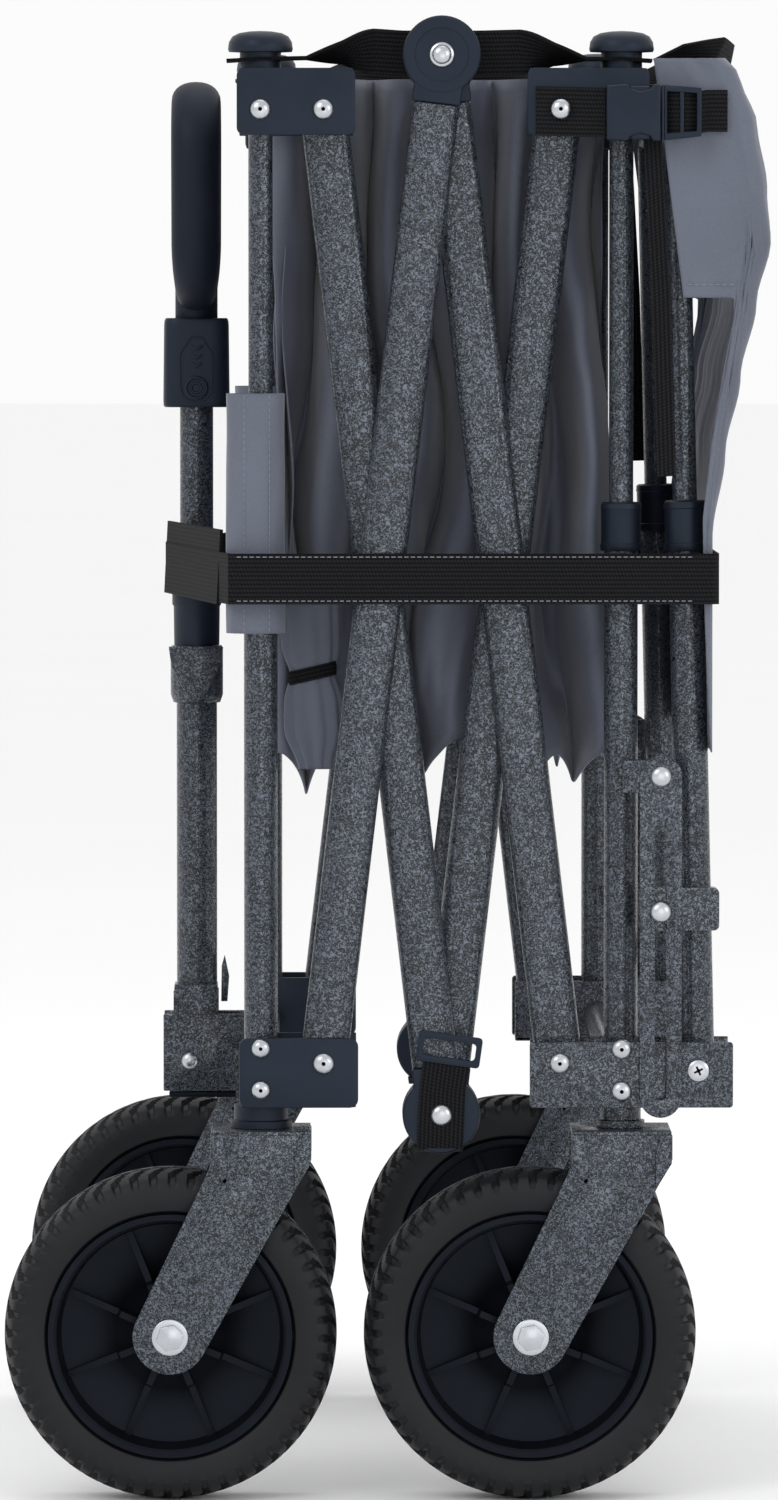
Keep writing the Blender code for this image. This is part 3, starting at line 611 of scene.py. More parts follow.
bars = {
    "a": (frontLow, midTop, 0, "bars_a"),
    "b": (frontTop, midLow, 1, "bars_b"),
    "c": (rearLow, midTop, 1, "bars_c"),
    "d": (rearTop, midLow, 2, "bars_d"),
}
capNodes = {"a": "top_mid_cap", "b": "low_mid_cap"}
for letter, (postPivot, midPivot, layer, body) in bars.items():
    for label, side in sides:
        y = side * layers[layer]
        show(
            f"bar_{letter}_tube_{label}", made(barTube, postPivot, midPivot, y), paint, body,
            [f"bar_{letter}_{label}"],
        )
        disc = made(capDisc, midPivot, postPivot, y, barSet["disc"], barSet["thick"])
        replaced = [f"{capNodes[letter]}_{label}"] if letter in capNodes else []
        show(f"bar_{letter}_cap_{label}", disc, plastic, body, replaced, bevel=0.0012, steps=3)
for label, side in sides:
    ring = made(washer, (midTop[0], side * 0.2464, midTop[1]), side, 0.0200, 0.0145, 0.0006)
    show(f"top_disc_ring_{label}", ring, plastic, "bars_a")
print("bars made")


# Posts, cross tubes and collars
def postSet(x):
    parts = []
    for _, side in sides:
        y = side * postY
        parts.append(made(tube, (x, y, 0.2145), (x, y, 0.512), 0.009, 0.0072))
    parts.append(made(tube, (x, -0.219, 0.2265), (x, 0.219, 0.2265), 0.008, 0.0065))
    return parts


def collarRing(bm, x, side, z0, z1, axis=(0, 0, 1)):
    profile = [(0.0093, z0), (0.0108, z0), (0.0112, z0 + 0.0012), (0.0112, z0 + 0.0035), (0.0107, z0 + 0.004)]
    profile += [(0.0107, z1 - 0.004), (0.0110, z1 - 0.0035), (0.0108, z1 - 0.001), (0.0098, z1), (0.0069, z1)]
    profile += [(0.0069, z0 + 0.0048), (0.0093, z0 + 0.0048)]
    turned(bm, profile, (x, side * postY, 0), axis, 36, ring=True)


yokeOutline = [(-0.0757, -0.0157), (-0.0757, 0.0157), (-0.1246, 0.0157), (-0.1246, 0.0132)]
yokeOutline += [(-0.0790, 0.0132), (-0.0790, -0.0132), (-0.1246, -0.0132), (-0.1246, -0.0157)]
parts = postSet(frontPostX)
show("front_posts", joined(*parts), paint, "front_frame", ["front_lower_frame"])
show("handle_bracket", made(prism, yokeOutline, 0.2007, 0.2437, "z"), paint, "front_frame", bevel=0.0008)
foot = made(block, (-0.1215, -0.0125, 0.1968), (-0.0840, 0.0125, 0.2004))
show("handle_foot_pad", foot, rimPlastic, "front_frame", bevel=0.001)
pivotParts = [made(rivetHead, (-0.110, side * 0.0157, 0.2175), side, 0.0048, 0.0024) for _, side in sides]
show("handle_pivot_rivets", joined(*pivotParts), zinc, "front_frame", angle=50)
blade = [(-0.0925, 0.2500), (-0.0890, 0.2500), (-0.0880, 0.2640), (-0.0905, 0.2760), (-0.0922, 0.2700)]
show("handle_stop_blade", made(prism, blade, -0.004, -0.001), paint, "front_frame", bevel=0.0003)


def linkTab(bm, side):
    end = 0.1527
    outline = [(rearPostX + 0.0005, 0.2362), (rearPostX + 0.009, 0.2330), (rearPostX + 0.009, 0.2488)]
    outline += [(end, 0.2488), (end, 0.2508), (rearPostX + 0.0005, 0.2508)]
    prism(bm, [(u, side * v) for u, v in outline], 0.3795, 0.3968, "z")


show("rear_posts", joined(*postSet(rearPostX)), paint, "rear_frame", ["rear_lower_frame"])
show("rear_link_tabs", joined(*[made(linkTab, side) for _, side in sides]), paint, "rear_frame", bevel=0.0006)
for endName, x, body in (("front", frontPostX, "front_top"), ("rear", rearPostX, "rear_top")):
    parts = []
    for _, side in sides:
        y = side * postY
        parts.append(made(tube, (x, y, 0.478), (x, y, 0.757), 0.0065, 0.0053))
    parts.append(made(tube, (x, -0.222, 0.745), (x, 0.222, 0.745), 0.0062, 0.0053))
    show(f"{endName}_inner_posts", joined(*parts), paint, body, [f"{endName}_upper_frame"])
for endName, x, body in (("front", frontPostX, "front_frame"), ("rear", rearPostX, "rear_frame")):
    for label, side in sides:
        ring = made(collarRing, x, side, 0.508, 0.534)
        show(f"{endName}_post_collar_{label}", ring, plastic, body, [f"{endName}_collar_{label}"])
print("posts made")


# Corner brackets
bracketSet = {"inner": 0.205, "outer": 0.250}


def channel(bm, side, x0, x1, z0, z1, radius):
    plate = roundedBox(x0, z0, x1, z1, radius)
    low, high = sorted((side * 0.2475, side * bracketSet["outer"]))
    prism(bm, plate, low, high)


def channelRest(bm, side, x0, x1, z0, z1, top):
    a, b = sorted((side * bracketSet["inner"], side * 0.2476))
    web = (z1 - 0.0025, z1 - 0.0001) if top else (z0 + 0.0001, z0 + 0.0025)
    block(bm, (x0 + 0.0012, a, web[0]), (x1 - 0.0012, b, web[1]))


def innerPlate(bm, side, x0, x1, z0, z1):
    a, b = sorted((side * bracketSet["inner"], side * 0.2075))
    block(bm, (x0 + 0.001, a, z0 + 0.0002), (x1 - 0.001, b, z1 - 0.0002))


def hemPlug(bm, x, side):
    profile = [(0, 0.7640), (0.011, 0.7640), (0.011, 0.7735), (0.0168, 0.7738), (0.0173, 0.7752)]
    profile += [(0.0168, 0.7790), (0.0150, 0.7820), (0.0115, 0.7838), (0.0060, 0.7847), (0, 0.7850)]
    turned(bm, profile, (x, side * postY, 0), (0, 0, 1), 40)


def stemSeat(bm, x, side, outer):
    profile = [
        (0.0066, 0.1993), (outer, 0.1993), (outer, 0.2030), (outer - 0.002, 0.2036),
        (outer - 0.002, 0.2115),
    ]
    profile += [(0.0066, 0.2115)]
    turned(bm, profile, (x, side * postY, 0), (0, 0, 1), 36, ring=True)


cornerSet = {
    "front": (
        "front_frame", "front_bracket", plastic, (-0.080, -0.0165), (0.2112, 0.2484), False, frontPostX,
        0.0045,
    ),
    "rear": (
        "rear_frame", "rear_bracket", paint, (0.075, 0.1835), (0.2112, 0.2463), False, rearPostX, 0.0018,
    ),
    "front_top": (
        "front_top", "front_top_bracket", plastic, (-0.081, -0.018), (0.7293, 0.7649), True, frontPostX,
        0.0040,
    ),
    "rear_top": (
        "rear_top", "rear_top_bracket", plastic, (0.0734, 0.1383), (0.7293, 0.7649), True, rearPostX,
        0.0040,
    ),
}
for key, (body, node, material, (x0, x1), (z0, z1), top, postX, radius) in cornerSet.items():
    for label, side in sides:
        shell = joined(
            made(channel, side, x0, x1, z0, z1, radius),
            made(channelRest, side, x0, x1, z0, z1, top),
            made(innerPlate, side, x0, x1, z0, z1),
        )
        show(f"{key}_corner_{label}", shell, material, body, [f"{node}_{label}"], bevel=0.0006)
        if top:
            show(f"{key}_plug_{label}", made(hemPlug, postX, side), plastic, body, angle=40)
        else:
            seat = made(stemSeat, postX, side, 0.0165 if key == "front" else 0.0130)
            show(f"{key}_stem_seat_{label}", seat, plastic if key == "front" else paint, body)
print("brackets made")


# Wheels: tyre with a directional tread, deep dished rim, hex bolt
tyreSet = {"radius": 0.089, "pitches": 52, "steps": 8, "groove": 0.0024}
frontAxle, rearAxle, axleZ = -0.117, 0.0755, 0.089


def treadDepth(phase, across):
    lane = abs(across)
    if lane > 0.84:
        return 1.0 if (phase + 0.1) % 1.0 < 0.36 else 0.0
    wave = (phase + lane * 1.25) % 1.0
    slash = 1.0 if wave < 0.30 and 0.30 < lane < 0.90 else 0.0
    zig = abs(((phase + 0.15) % 1.0) - 0.5) * 0.22
    centre = 1.0 if abs(lane - 0.16 - zig * 0.6) < 0.045 else 0.0
    return max(slash, centre)


def tyreShape(bm, x, y):
    radius = tyreSet["radius"]
    side = [
        (0.0657, 0.0205), (0.0672, 0.0228), (0.0700, 0.0240), (0.0745, 0.0249), (0.0790, 0.0248),
        (0.0818, 0.0240), (0.0838, 0.0229),
    ]
    crown = []
    lanes = 30
    for i in range(lanes + 1):
        across = 1 - 2 * i / lanes
        r = radius - 0.0042 * abs(across) ** 2.6
        crown.append((r, across * 0.0218, across))
    profile = [(r, w, None) for r, w in side] + crown + [(r, -w, None) for r, w in reversed(side)]
    profile += [(0.0657, -0.010, None), (0.0657, 0.010, None)]
    total = tyreSet["pitches"] * tyreSet["steps"]
    rings = []
    for i in range(total):
        a = 2 * math.pi * i / total
        phase = (i % tyreSet["steps"]) / tyreSet["steps"]
        ring = []
        for r, w, across in profile:
            depth = 0.0 if across is None else treadDepth(phase, across)
            deep = r - depth * tyreSet["groove"]
            if across is None and r > 0.0805 and (phase + 0.1) % 1.0 < 0.36:
                deep -= 0.0022
            ring.append((x + deep * math.sin(a), y + w, axleZ + deep * math.cos(a)))
        rings.append(ring)
    loft(bm, rings, closed=True)


def rimBody(bm, x, y, side):
    face = side * 0.023
    steps = 96
    profile = [
        (0.0655, face), (0.0652, face + side * 0.0006), (0.0622, face + side * 0.0006),
        (0.0608, face - side * 0.0006),
    ]
    profile += [
        (0.0596, face - side * 0.006), (0.0585, face - side * 0.018), (0.0300, face - side * 0.0215),
        (0.0282, face - side * 0.0225),
    ]
    profile += [
        (0.0160, face - side * 0.0225), (0.0150, face - side * 0.010), (0.0145, face - side * 0.0035),
        (0.0135, face - side * 0.0028),
    ]
    profile += [
        (0.0042, face - side * 0.0028), (0.0042, -face + side * 0.0028), (0.0145, -face + side * 0.0035),
        (0.0160, -face + side * 0.0200),
    ]
    profile += [
        (0.0585, -face + side * 0.018), (0.0608, -face + side * 0.0006), (0.0622, -face - side * 0.0006),
        (0.0652, -face - side * 0.0006),
    ]
    profile += [(0.0655, -face)]
    turned(bm, profile, (x, y, axleZ), (0, 1, 0), steps, ring=True)


def rimRib(bm, x, y, side, angle):
    face = side * 0.023
    a = math.radians(angle)
    shape = [
        (0.0140, 0.0052), (0.0150, 0.0048), (0.0290, 0.0060), (0.0305, 0.0125), (0.0590, 0.0145),
        (0.0600, 0.0235), (0.0140, 0.0235),
    ]
    half = 0.0017
    rings = []
    for offset in (-half, half):
        ring = []
        for r, depth in shape:
            u, v = r * math.cos(a) - offset * math.sin(a), r * math.sin(a) + offset * math.cos(a)
            ring.append((x + u, y + face - side * depth, axleZ + v))
        rings.append(ring)
    loft(bm, rings)


def hexBolt(bm, place, side, radius, depth, turn):
    outline = []
    for i in range(6):
        a = math.radians(60 * i + turn)
        outline.append((place[0] + radius * math.cos(a), place[2] + radius * math.sin(a)))
    low, high = sorted((place[1], place[1] + side * depth))
    prism(bm, outline, low, high)


wheels = {
    "front_near": (frontAxle, near), "front_far": (frontAxle, far),
    "rear_near": (rearAxle, near), "rear_far": (rearAxle, far),
}
for label, (x, side) in wheels.items():
    y = side * postY
    body = f"wheel_{label}"
    show(f"tyre_tread_{label}", made(tyreShape, x, y), rubber, body, [f"tyre_{label}"], angle=28)
    parts = [made(rimBody, x, y, side)]
    parts += [made(rimRib, x, y, s, 45 * i + 22) for i in range(8) for s in (near, far)]
    show(f"rim_dish_{label}", joined(*parts), rimPlastic, body, [f"rim_{label}"], angle=30)
print("wheels made")


# Forks: crown with side rails, tapering legs with a raised panel, axle bolt
def forkLeg(bm, x, axleX, y, hand):
    outline = [(x + 0.027, 0.1970), (x - 0.027, 0.1970), (x - 0.027, 0.1800)]
    for i in range(21):
        a = math.radians(152 + 176 * i / 20)
        outline.append((axleX + 0.020 * math.cos(a), axleZ + 0.020 * math.sin(a)))
    outline += [(x + 0.0195, 0.1700), (x + 0.027, 0.1840)]
    prism(bm, outline, *sorted((y + hand * 0.0266, y + hand * 0.0288)))


def forkPanel(bm, x, axleX, y, hand):
    low, high = Vector((axleX + 0.003, axleZ + 0.031)), Vector((x - 0.012, 0.1640))
    along = (high - low).normalized()
    across = Vector((along.y, -along.x))
    for inset, outer in ((0.0, 0.0300), (0.0020, 0.0308)):
        outline = []
        for centre, start, width in ((high, 0, 0.0125), (low, 180, 0.0090)):
            for i in range(13):
                a = math.radians(start + 180 * i / 12)
                outline.append(centre + (across * math.cos(a) + along * math.sin(a)) * (width - inset))
        prism(bm, [(p.x, p.y) for p in outline], *sorted((y + hand * 0.0286, y + hand * outer)))


def forkRail(bm, x, y, hand, edge):
    outline = [
        (x + edge * 0.0268, 0.1975), (x + edge * 0.0208, 0.1975), (x + edge * 0.0180, 0.1860),
        (x + edge * 0.0180, 0.1700),
    ]
    outline += [(x + edge * 0.0205, 0.1720), (x + edge * 0.0266, 0.1820)]
    prism(bm, outline, *sorted((y + hand * 0.0286, y + hand * 0.0300)))


forks = {
    "front_fork_near": (frontPostX, near, "caster_near"),
    "front_fork_far": (frontPostX, far, "caster_far"),
    "rear_fork_near": (rearPostX, near, "rear_frame"),
    "rear_fork_far": (rearPostX, far, "rear_frame"),
}
for node, (x, side, body) in forks.items():
    y = side * postY
    axleX = frontAxle if x == frontPostX else rearAxle
    shapes = [made(block, (x - 0.0265, y - 0.0284, 0.1962), (x + 0.0265, y + 0.0284, 0.1990))]
    shapes.append(made(rod, (x, y, 0.1985), (x, y, 0.2400), 0.006))
    for hand in (near, far):
        shapes.append(made(forkLeg, x, axleX, y, hand))
        shapes.append(made(forkPanel, x, axleX, y, hand))
        shapes += [made(forkRail, x, y, hand, edge) for edge in (-1, 1)]
    show(f"{node}_shape", joined(*shapes), paint, body, [node], bevel=0.0003, steps=2)
    bolts = [made(hexBolt, (axleX, y + side * 0.0288, axleZ), side, 0.0074, 0.0046, 12)]
    bolts.append(made(washer, (axleX, y + side * 0.0286, axleZ), side, 0.0098, 0.003, 0.0012))
    bolts.append(made(hexBolt, (axleX, y - side * 0.0288, axleZ), -side, 0.0068, 0.0052, 5))
    bolts.append(made(rod, (axleX, y - 0.0288, axleZ), (axleX, y + 0.0288, axleZ), 0.0039))
    show(f"{node}_bolts", joined(*bolts), zinc, body, bevel=0.0004)
    boss = made(
        turned, [(0.0062, 0.1988), (0.0130, 0.1988), (0.0130, 0.1996), (0.0062, 0.1996)], (x, y, 0),
        (0, 0, 1), 32, ring=True,
    )
    show(f"{node}_boss", boss, rimPlastic, body)
print("forks made")


# Tailgate: two-part tube frame, collars, clips and slotted links
gateLean = math.radians(1.3)
gateUp = Vector((-math.sin(gateLean), 0, math.cos(gateLean)))
gatePivot = Vector((0.165, 0, 0.231))


def gatePoint(distance, y):
    return gatePivot + gateUp * distance + Vector((0, y, 0))


def gateLower():
    parts = []
    for _, side in sides:
        y = side * postY
        parts.append(made(tube, gatePoint(-0.008, y), gatePoint(0.281, y), 0.0095, 0.0078))
        low, high = sorted((side * 0.2364, side * 0.2496))
        clip = roundedBox(0.1447 - 0.0115, 0.3059, 0.1760, 0.3287, 0.003)
        parts.append(made(prism, clip, low, high))
    parts.append(made(tube, gatePoint(0.060, -0.220), gatePoint(0.060, 0.220), 0.0070, 0.0056))
    return parts


show("tailgate_tubes", joined(*gateLower()), paint, "tailgate", ["tailgate_frame"])
for label, side in sides:
    low = gatePoint(0.277, side * postY)
    profile = [
        (0.0097, 0), (0.0112, 0), (0.0116, 0.0012), (0.0116, 0.0040), (0.0111, 0.0045), (0.0111, 0.0225),
    ]
    profile += [
        (0.0115, 0.0230), (0.0112, 0.0262), (0.0100, 0.0270), (0.0070, 0.0270), (0.0070, 0.0045),
        (0.0097, 0.0045),
    ]
    ring = made(turned, profile, low, gateUp, 36, ring=True)
    show(f"tailgate_ring_{label}", ring, plastic, "tailgate", [f"tailgate_collar_{label}"])
parts = []
for _, side in sides:
    parts.append(made(tube, gatePoint(0.262, side * postY), gatePoint(0.514, side * postY), 0.0065, 0.0053))
parts.append(made(tube, gatePoint(0.504, -0.222), gatePoint(0.504, 0.222), 0.0062, 0.0050))
show("tailgate_loop", joined(*parts), paint, "tailgate_top", ["tailgate_upper_loop"])


def linkPlate(bm, side):
    x, half, slotHalf = 0.1447, 0.0112, 0.0031
    low, high = sorted((side * 0.2513, side * 0.2532))
    outer, inner = [], []
    for (z, start) in ((0.3995 - half, 0), (0.2060 + half, 180)):
        for i in range(17):
            a = math.radians(start + 180 * i / 16)
            outer.append((x + half * math.cos(a), z + half * math.sin(a)))
    for (z, start) in ((0.3590 - slotHalf, 0), (0.2155 + slotHalf, 180)):
        for i in range(17):
            a = math.radians(start + 180 * i / 16)
            inner.append((x + slotHalf * math.cos(a), z + slotHalf * math.sin(a)))
    rings = [
        [(u, h, v) for u, v in outline]
        for outline, h in ((outer, low), (outer, high), (inner, high), (inner, low))
    ]
    loft(bm, rings, closed=True)


for label, side in sides:
    show(
        f"tailgate_strap_{label}", made(linkPlate, side), paint, "tailgate_links",
        [f"tailgate_link_{label}"], bevel=0.0004,
    )
print("tailgate made")


# Pull handle
def superEllipse(rx, ry, power, steps):
    points = []
    for i in range(steps):
        a = 2 * math.pi * i / steps
        c, s = math.cos(a), math.sin(a)
        points.append((
            rx * math.copysign(abs(c) ** (2 / power), c), ry * math.copysign(abs(s) ** (2 / power), s),
        ))
    return points


handleX = -0.106
gripSet = {"centre": 0.6995, "halfWide": 0.0365, "halfHigh": 0.0530, "corner": 0.026}


def gripPath():
    halfWide, halfHigh, corner = gripSet["halfWide"], gripSet["halfHigh"], gripSet["corner"]
    return [
        Vector((0, u, gripSet["centre"] + v)) for u, v in roundedBox(
            -halfWide, -halfHigh, halfWide, halfHigh, corner, 12,
        )
    ]


def gripShape(bm):
    section = superEllipse(0.0105, 0.0135, 2.2, 28)
    path = gripPath()
    rings = []
    for i, point in enumerate(path):
        tangent = (path[(i + 1) % len(path)] - path[i - 1]).normalized()
        outward = Vector((1, 0, 0)).cross(tangent).normalized()
        drop = max(0.0, (gripSet["centre"] - point.z) / gripSet["halfHigh"])
        waist = 1.0 - 0.05 * math.exp(-(((point.z - 0.7105) / 0.004) ** 2)) - 0.18 * drop**4
        rings.append([
            point + Vector((handleX, 0, 0)) + outward * u + Vector((v * waist, 0, 0)) for u, v in section
        ])
    loft(bm, rings, closed=True)


stem = made(
    turned, [(0.0096, 0.630), (0.0118, 0.630), (0.0118, 0.6490), (0.0096, 0.6490)], (handleX, 0, 0),
    (0, 0, 1), 40, ring=True,
)
show("handle_loop", made(gripShape), gripRubber, "handle_slide", ["handle_grip"], angle=60)
show("handle_neck", stem, gripRubber, "handle_slide", bevel=0.0006)


# The latch housing, with a tongue panel, three chevrons and a ringed button recess
def tonguePanel(z0, z1, halfTop, halfLow):
    outline = []
    for i in range(13):
        a = math.radians(180 + 180 * i / 12)
        outline.append((halfLow * math.cos(a), z0 + halfLow + halfLow * math.sin(a)))
    outline += [(halfLow, z1 - 0.009), (halfTop, z1), (-halfTop, z1), (-halfLow, z1 - 0.009)]
    return outline


def outlineRib(bm, outline, y, height, width):
    middle = Vector((sum(u for u, _ in outline) / len(outline), sum(v for _, v in outline) / len(outline)))
    rings = []
    for inset, h in ((0, y), (0, y - height), (width, y - height), (width, y)):
        ring = []
        for u, v in outline:
            p = Vector((u, v))
            q = p - (p - middle).normalized() * inset
            ring.append((handleX + q.x, h, q.y))
        rings.append(ring)
    loft(bm, rings, closed=True)


def housing(bm):
    section = superEllipse(0.0185, 0.0158, 5.0, 48)
    levels = [
        (0.5822, 0.965), (0.5835, 0.992), (0.5860, 1.0), (0.6275, 0.975), (0.6300, 0.965), (0.6318, 0.93),
    ]
    loft(bm, [[(handleX + u * k, v * k, z) for u, v in section] for z, k in levels])


def chevron(bm, z, half):
    outline = [
        (-half, z + 0.0010), (0, z - 0.0008), (half, z + 0.0010), (half, z - 0.0004), (0, z - 0.0024),
        (-half, z - 0.0004),
    ]
    prism(bm, [(handleX + u, v) for u, v in outline], -0.0166, -0.0156)


show("latch_body", made(housing), plastic, "handle_slide", ["latch_housing"], bevel=0.0006)
outer = made(outlineRib, tonguePanel(0.5845, 0.6215, 0.0032, 0.0092), -0.0155, 0.0009, 0.0008)
chevrons = [made(chevron, 0.6160 - 0.0048 * i, 0.0036 - 0.0003 * i) for i in range(3)]
show("latch_marks", joined(outer, *chevrons), plastic, "handle_slide", bevel=0.0002)
profile = [
    (0, 0), (0.0066, 0), (0.0066, 0.0016), (0.0060, 0.0021), (0.0052, 0.0021), (0.0047, 0.0014),
    (0.0036, 0.0014),
]
profile += [(0.0032, 0.0020), (0.0023, 0.0020), (0.0019, 0.0014), (0, 0.0014)]
button = made(turned, profile, (handleX, -0.0158, 0.5930), (0, -1, 0), 40)
show("latch_face", button, plastic, "latch", ["latch_button"])
innerTube = made(tube, (handleX, 0, 0.245), (handleX, 0, 0.600), 0.00925, 0.0078)
show("handle_inner", innerTube, paint, "handle_slide", ["handle_inner_tube"])


def clevis():
    parts = [made(tube, (handleX, 0, 0.2560), (handleX, 0, 0.4490), 0.01125, 0.0097)]
    for side in (near, far):
        outline = [
            (-0.1190, 0.2566), (-0.1190, 0.2190), (-0.1150, 0.2080), (-0.1060, 0.2075), (-0.0990, 0.2110),
            (-0.0940, 0.2400), (-0.0940, 0.2566),
        ]
        parts.append(made(prism, outline, *sorted((side * 0.0108, side * 0.0128))))
    parts.append(made(block, (-0.1185, -0.0126, 0.2535), (-0.0945, 0.0126, 0.2600)))
    parts.append(made(
        turned,
        [
            (0.0114, 0.4170), (0.0132, 0.4175), (0.0146, 0.4220), (0.0146, 0.4470), (0.0140, 0.4492),
            (0.0114, 0.4492),
        ],
        (handleX, 0, 0), (0, 0, 1), 36, ring=True,
    ))
    return parts


show("handle_lower", joined(*clevis()), paint, "handle", ["handle_lower_tube"], bevel=0.0005)
saddle = [
    (-0.0155, 0.4490), (0.0150, 0.4490), (0.0136, 0.4400), (0.0062, 0.4240), (0.0, 0.4175),
    (-0.0064, 0.4230), (-0.0140, 0.4380),
]
plate = made(prism, [(handleX + u, v) for u, v in saddle], -0.0158, -0.0140)
show("handle_saddle", plate, paint, "handle", bevel=0.0006)
profile = [
    (0.0097, 0.4495), (0.0126, 0.4495), (0.0129, 0.4710), (0.0137, 0.4722), (0.0137, 0.4838),
    (0.0128, 0.4855), (0.0097, 0.4855),
]
ring = made(turned, profile, (handleX, 0, 0), (0, 0, 1), 40, ring=True)
show("handle_ring", ring, plastic, "handle", ["handle_collar"])
print("handle made")


# Sheets with a UV map in metres of flat cloth
def sheetMesh(name, grid, size, material, thickness=0.0009):
    rows, columns = len(grid), len(grid[0])
    bm = bmesh.new()
    cloths = [[bm.verts.new(p) for p in row] for row in grid]
    uvLayer = bm.loops.layers.uv.new("flat")
    for i in range(rows - 1):
        for j in range(columns - 1):
            face = bm.faces.new((cloths[i][j], cloths[i][j + 1], cloths[i + 1][j + 1], cloths[i + 1][j]))
            for loop, (a, b) in zip(face.loops, ((i, j), (i, j + 1), (i + 1, j + 1), (i + 1, j))):
                loop[uvLayer].uv = (size[0] * b / (columns - 1), size[1] * a / (rows - 1))
            face.smooth = True
    mesh = bpy.data.meshes.new(name)
    bm.to_mesh(mesh)
    bm.free()
    mesh.materials.append(material)
    piece = bpy.data.objects.new(name, mesh)
    scene.collection.objects.link(piece)
    if thickness:
        shell = piece.modifiers.new("thickness", "SOLIDIFY")
        shell.thickness = thickness
        shell.offset = 0
        graph = bpy.context.evaluated_depsgraph_get()
        piece.data = bpy.data.meshes.new_from_object(piece.evaluated_get(graph))
        piece.modifiers.clear()
    bm = bmesh.new()
    bm.from_mesh(piece.data)
    bmesh.ops.recalc_face_normals(bm, faces=bm.faces)
    bm.to_mesh(piece.data)
    bm.free()
    return piece


def ripple(x, y, z, scale, seed):
    return noise.noise(Vector((x * scale + seed, y * scale, z * scale)))


def smoothStep(low, high, value):
    t = min(1.0, max(0.0, (value - low) / (high - low)))
    return t * t * (3 - 2 * t)


def evenly(points, count):
    lengths = [0.0]
    for a, b in zip(points, points[1:]):
        lengths.append(lengths[-1] + (b - a).length)
    out, k = [], 0
    for i in range(count):
        target = lengths[-1] * i / (count - 1)
        while k < len(points) - 2 and lengths[k + 1] < target:
            k += 1
        span = lengths[k + 1] - lengths[k]
        t = (target - lengths[k]) / span if span else 0
        out.append(points[k].lerp(points[k + 1], min(1.0, t)))
    return out, lengths[-1]


curtainSet = {
    "top": 0.7600, "bottom": 0.4020, "front": -0.0610, "rear": 0.1180, "base": 0.1990, "depth": 0.060,
    "folds": 5.5, "columns": 260, "rows": 60,
}


def curtainPoint(u, v, side, seed):
    front, rear = curtainSet["front"], curtainSet["rear"]
    z = curtainSet["top"] + (curtainSet["bottom"] - curtainSet["top"]) * v
    lean = 0.16 * ripple(u * 2.2, v * 0.9, 0, 1.6, seed) * v
    phase = curtainSet["folds"] * (u + lean) + 0.50 * ripple(u * 2.4, v * 1.5, 0, 2.0, seed + 7)
    wave = 0.5 - 0.5 * math.cos(2 * math.pi * phase)
    deep = curtainSet["depth"] * (0.75 + 0.5 * ripple(
        u * 6, v, 3, 1.1, seed + 3,
    )) * (0.55 + 0.45 * smoothStep(0, 0.10, v))
    slip = 0.0032 * math.sin(2 * math.pi * phase)
    y = curtainSet["base"] - deep * wave + 0.0030 * ripple(u * 30, v * 9, 1, 1.0, seed)
    x = front + (rear - front) * u + slip + 0.0022 * ripple(u * 9, v * 5, 5, 1.3, seed)
    z += 0.030 * ripple(u * 6, 0, 2, 1.0, seed) * v - 0.016 * v * wave
    return Vector((x, side * y, z))


for label, side in sides:
    grid, flatWidth = [], 0.0
    for i in range(curtainSet["rows"] + 1):
        v = i / curtainSet["rows"]
        row, length = evenly(
            [curtainPoint(j / 900, v, side, 3.0 + side) for j in range(901)], curtainSet["columns"],
        )
        flatWidth = max(flatWidth, length)
        grid.append(row)
    piece = sheetMesh(f"side_cloth_{label}", grid, (flatWidth, 0.36), cloth)
    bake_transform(piece)
    print("curtain", label, round(flatWidth, 3))
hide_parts("cloth_rear")


# Front and floor cloth, folded between the posts
endSet = {"x": -0.0555, "half": 0.196, "top": 0.756, "bottom": 0.404, "columns": 150, "rows": 46}


def endPoint(u, v, seed):
    y = endSet["half"] * (2 * u - 1)
    z = endSet["top"] + (endSet["bottom"] - endSet["top"]) * v
    x = endSet["x"] + 0.0030 * math.sin(9.5 * u + 2.2 * v) * v + 0.0035 * ripple(
        u * 6, v * 3, 0, 1.4, seed,
    ) * smoothStep(0, 0.15, v)
    return Vector((x, y, z + 0.003 * ripple(u * 5, 0, 4, 1, seed)))


grid = []
for i in range(endSet["rows"] + 1):
    v = i / endSet["rows"]
    grid.append([endPoint(j / endSet["columns"], v, 11.0) for j in range(endSet["columns"] + 1)])
piece = sheetMesh("front_cloth", grid, (0.40, 0.36), cloth)
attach(piece, "front_top")
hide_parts("cloth_front")

floorSet = {"x0": -0.045, "x1": 0.100, "z": 0.404, "rise": 0.150, "half": 0.150, "folds": 3}


def floorPoint(u, v, seed):
    x = floorSet["x0"] + (floorSet["x1"] - floorSet["x0"]) * u
    phase = floorSet["folds"] * u
    lift = floorSet["rise"] * (0.5 - 0.5 * math.cos(2 * math.pi * phase))
    y = floorSet["half"] * (2 * v - 1)
    return Vector((
        x + 0.004 * math.sin(2 * math.pi * phase * 2), y,
        floorSet["z"] + lift + 0.006 * ripple(u * 4, v * 5, 0, 1.3, seed),
    ))


grid, floorLong = [], 0.0
for i in range(41):
    row, length = evenly([floorPoint(j / 400, i / 40, 21.0) for j in range(401)], 160)
    floorLong = max(floorLong, length)
    grid.append(row)
piece = sheetMesh("floor_cloth", grid, (floorLong, 0.30), cloth)
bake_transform(piece)
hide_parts("cloth_middle")
print("floor cloth", round(floorLong, 3))


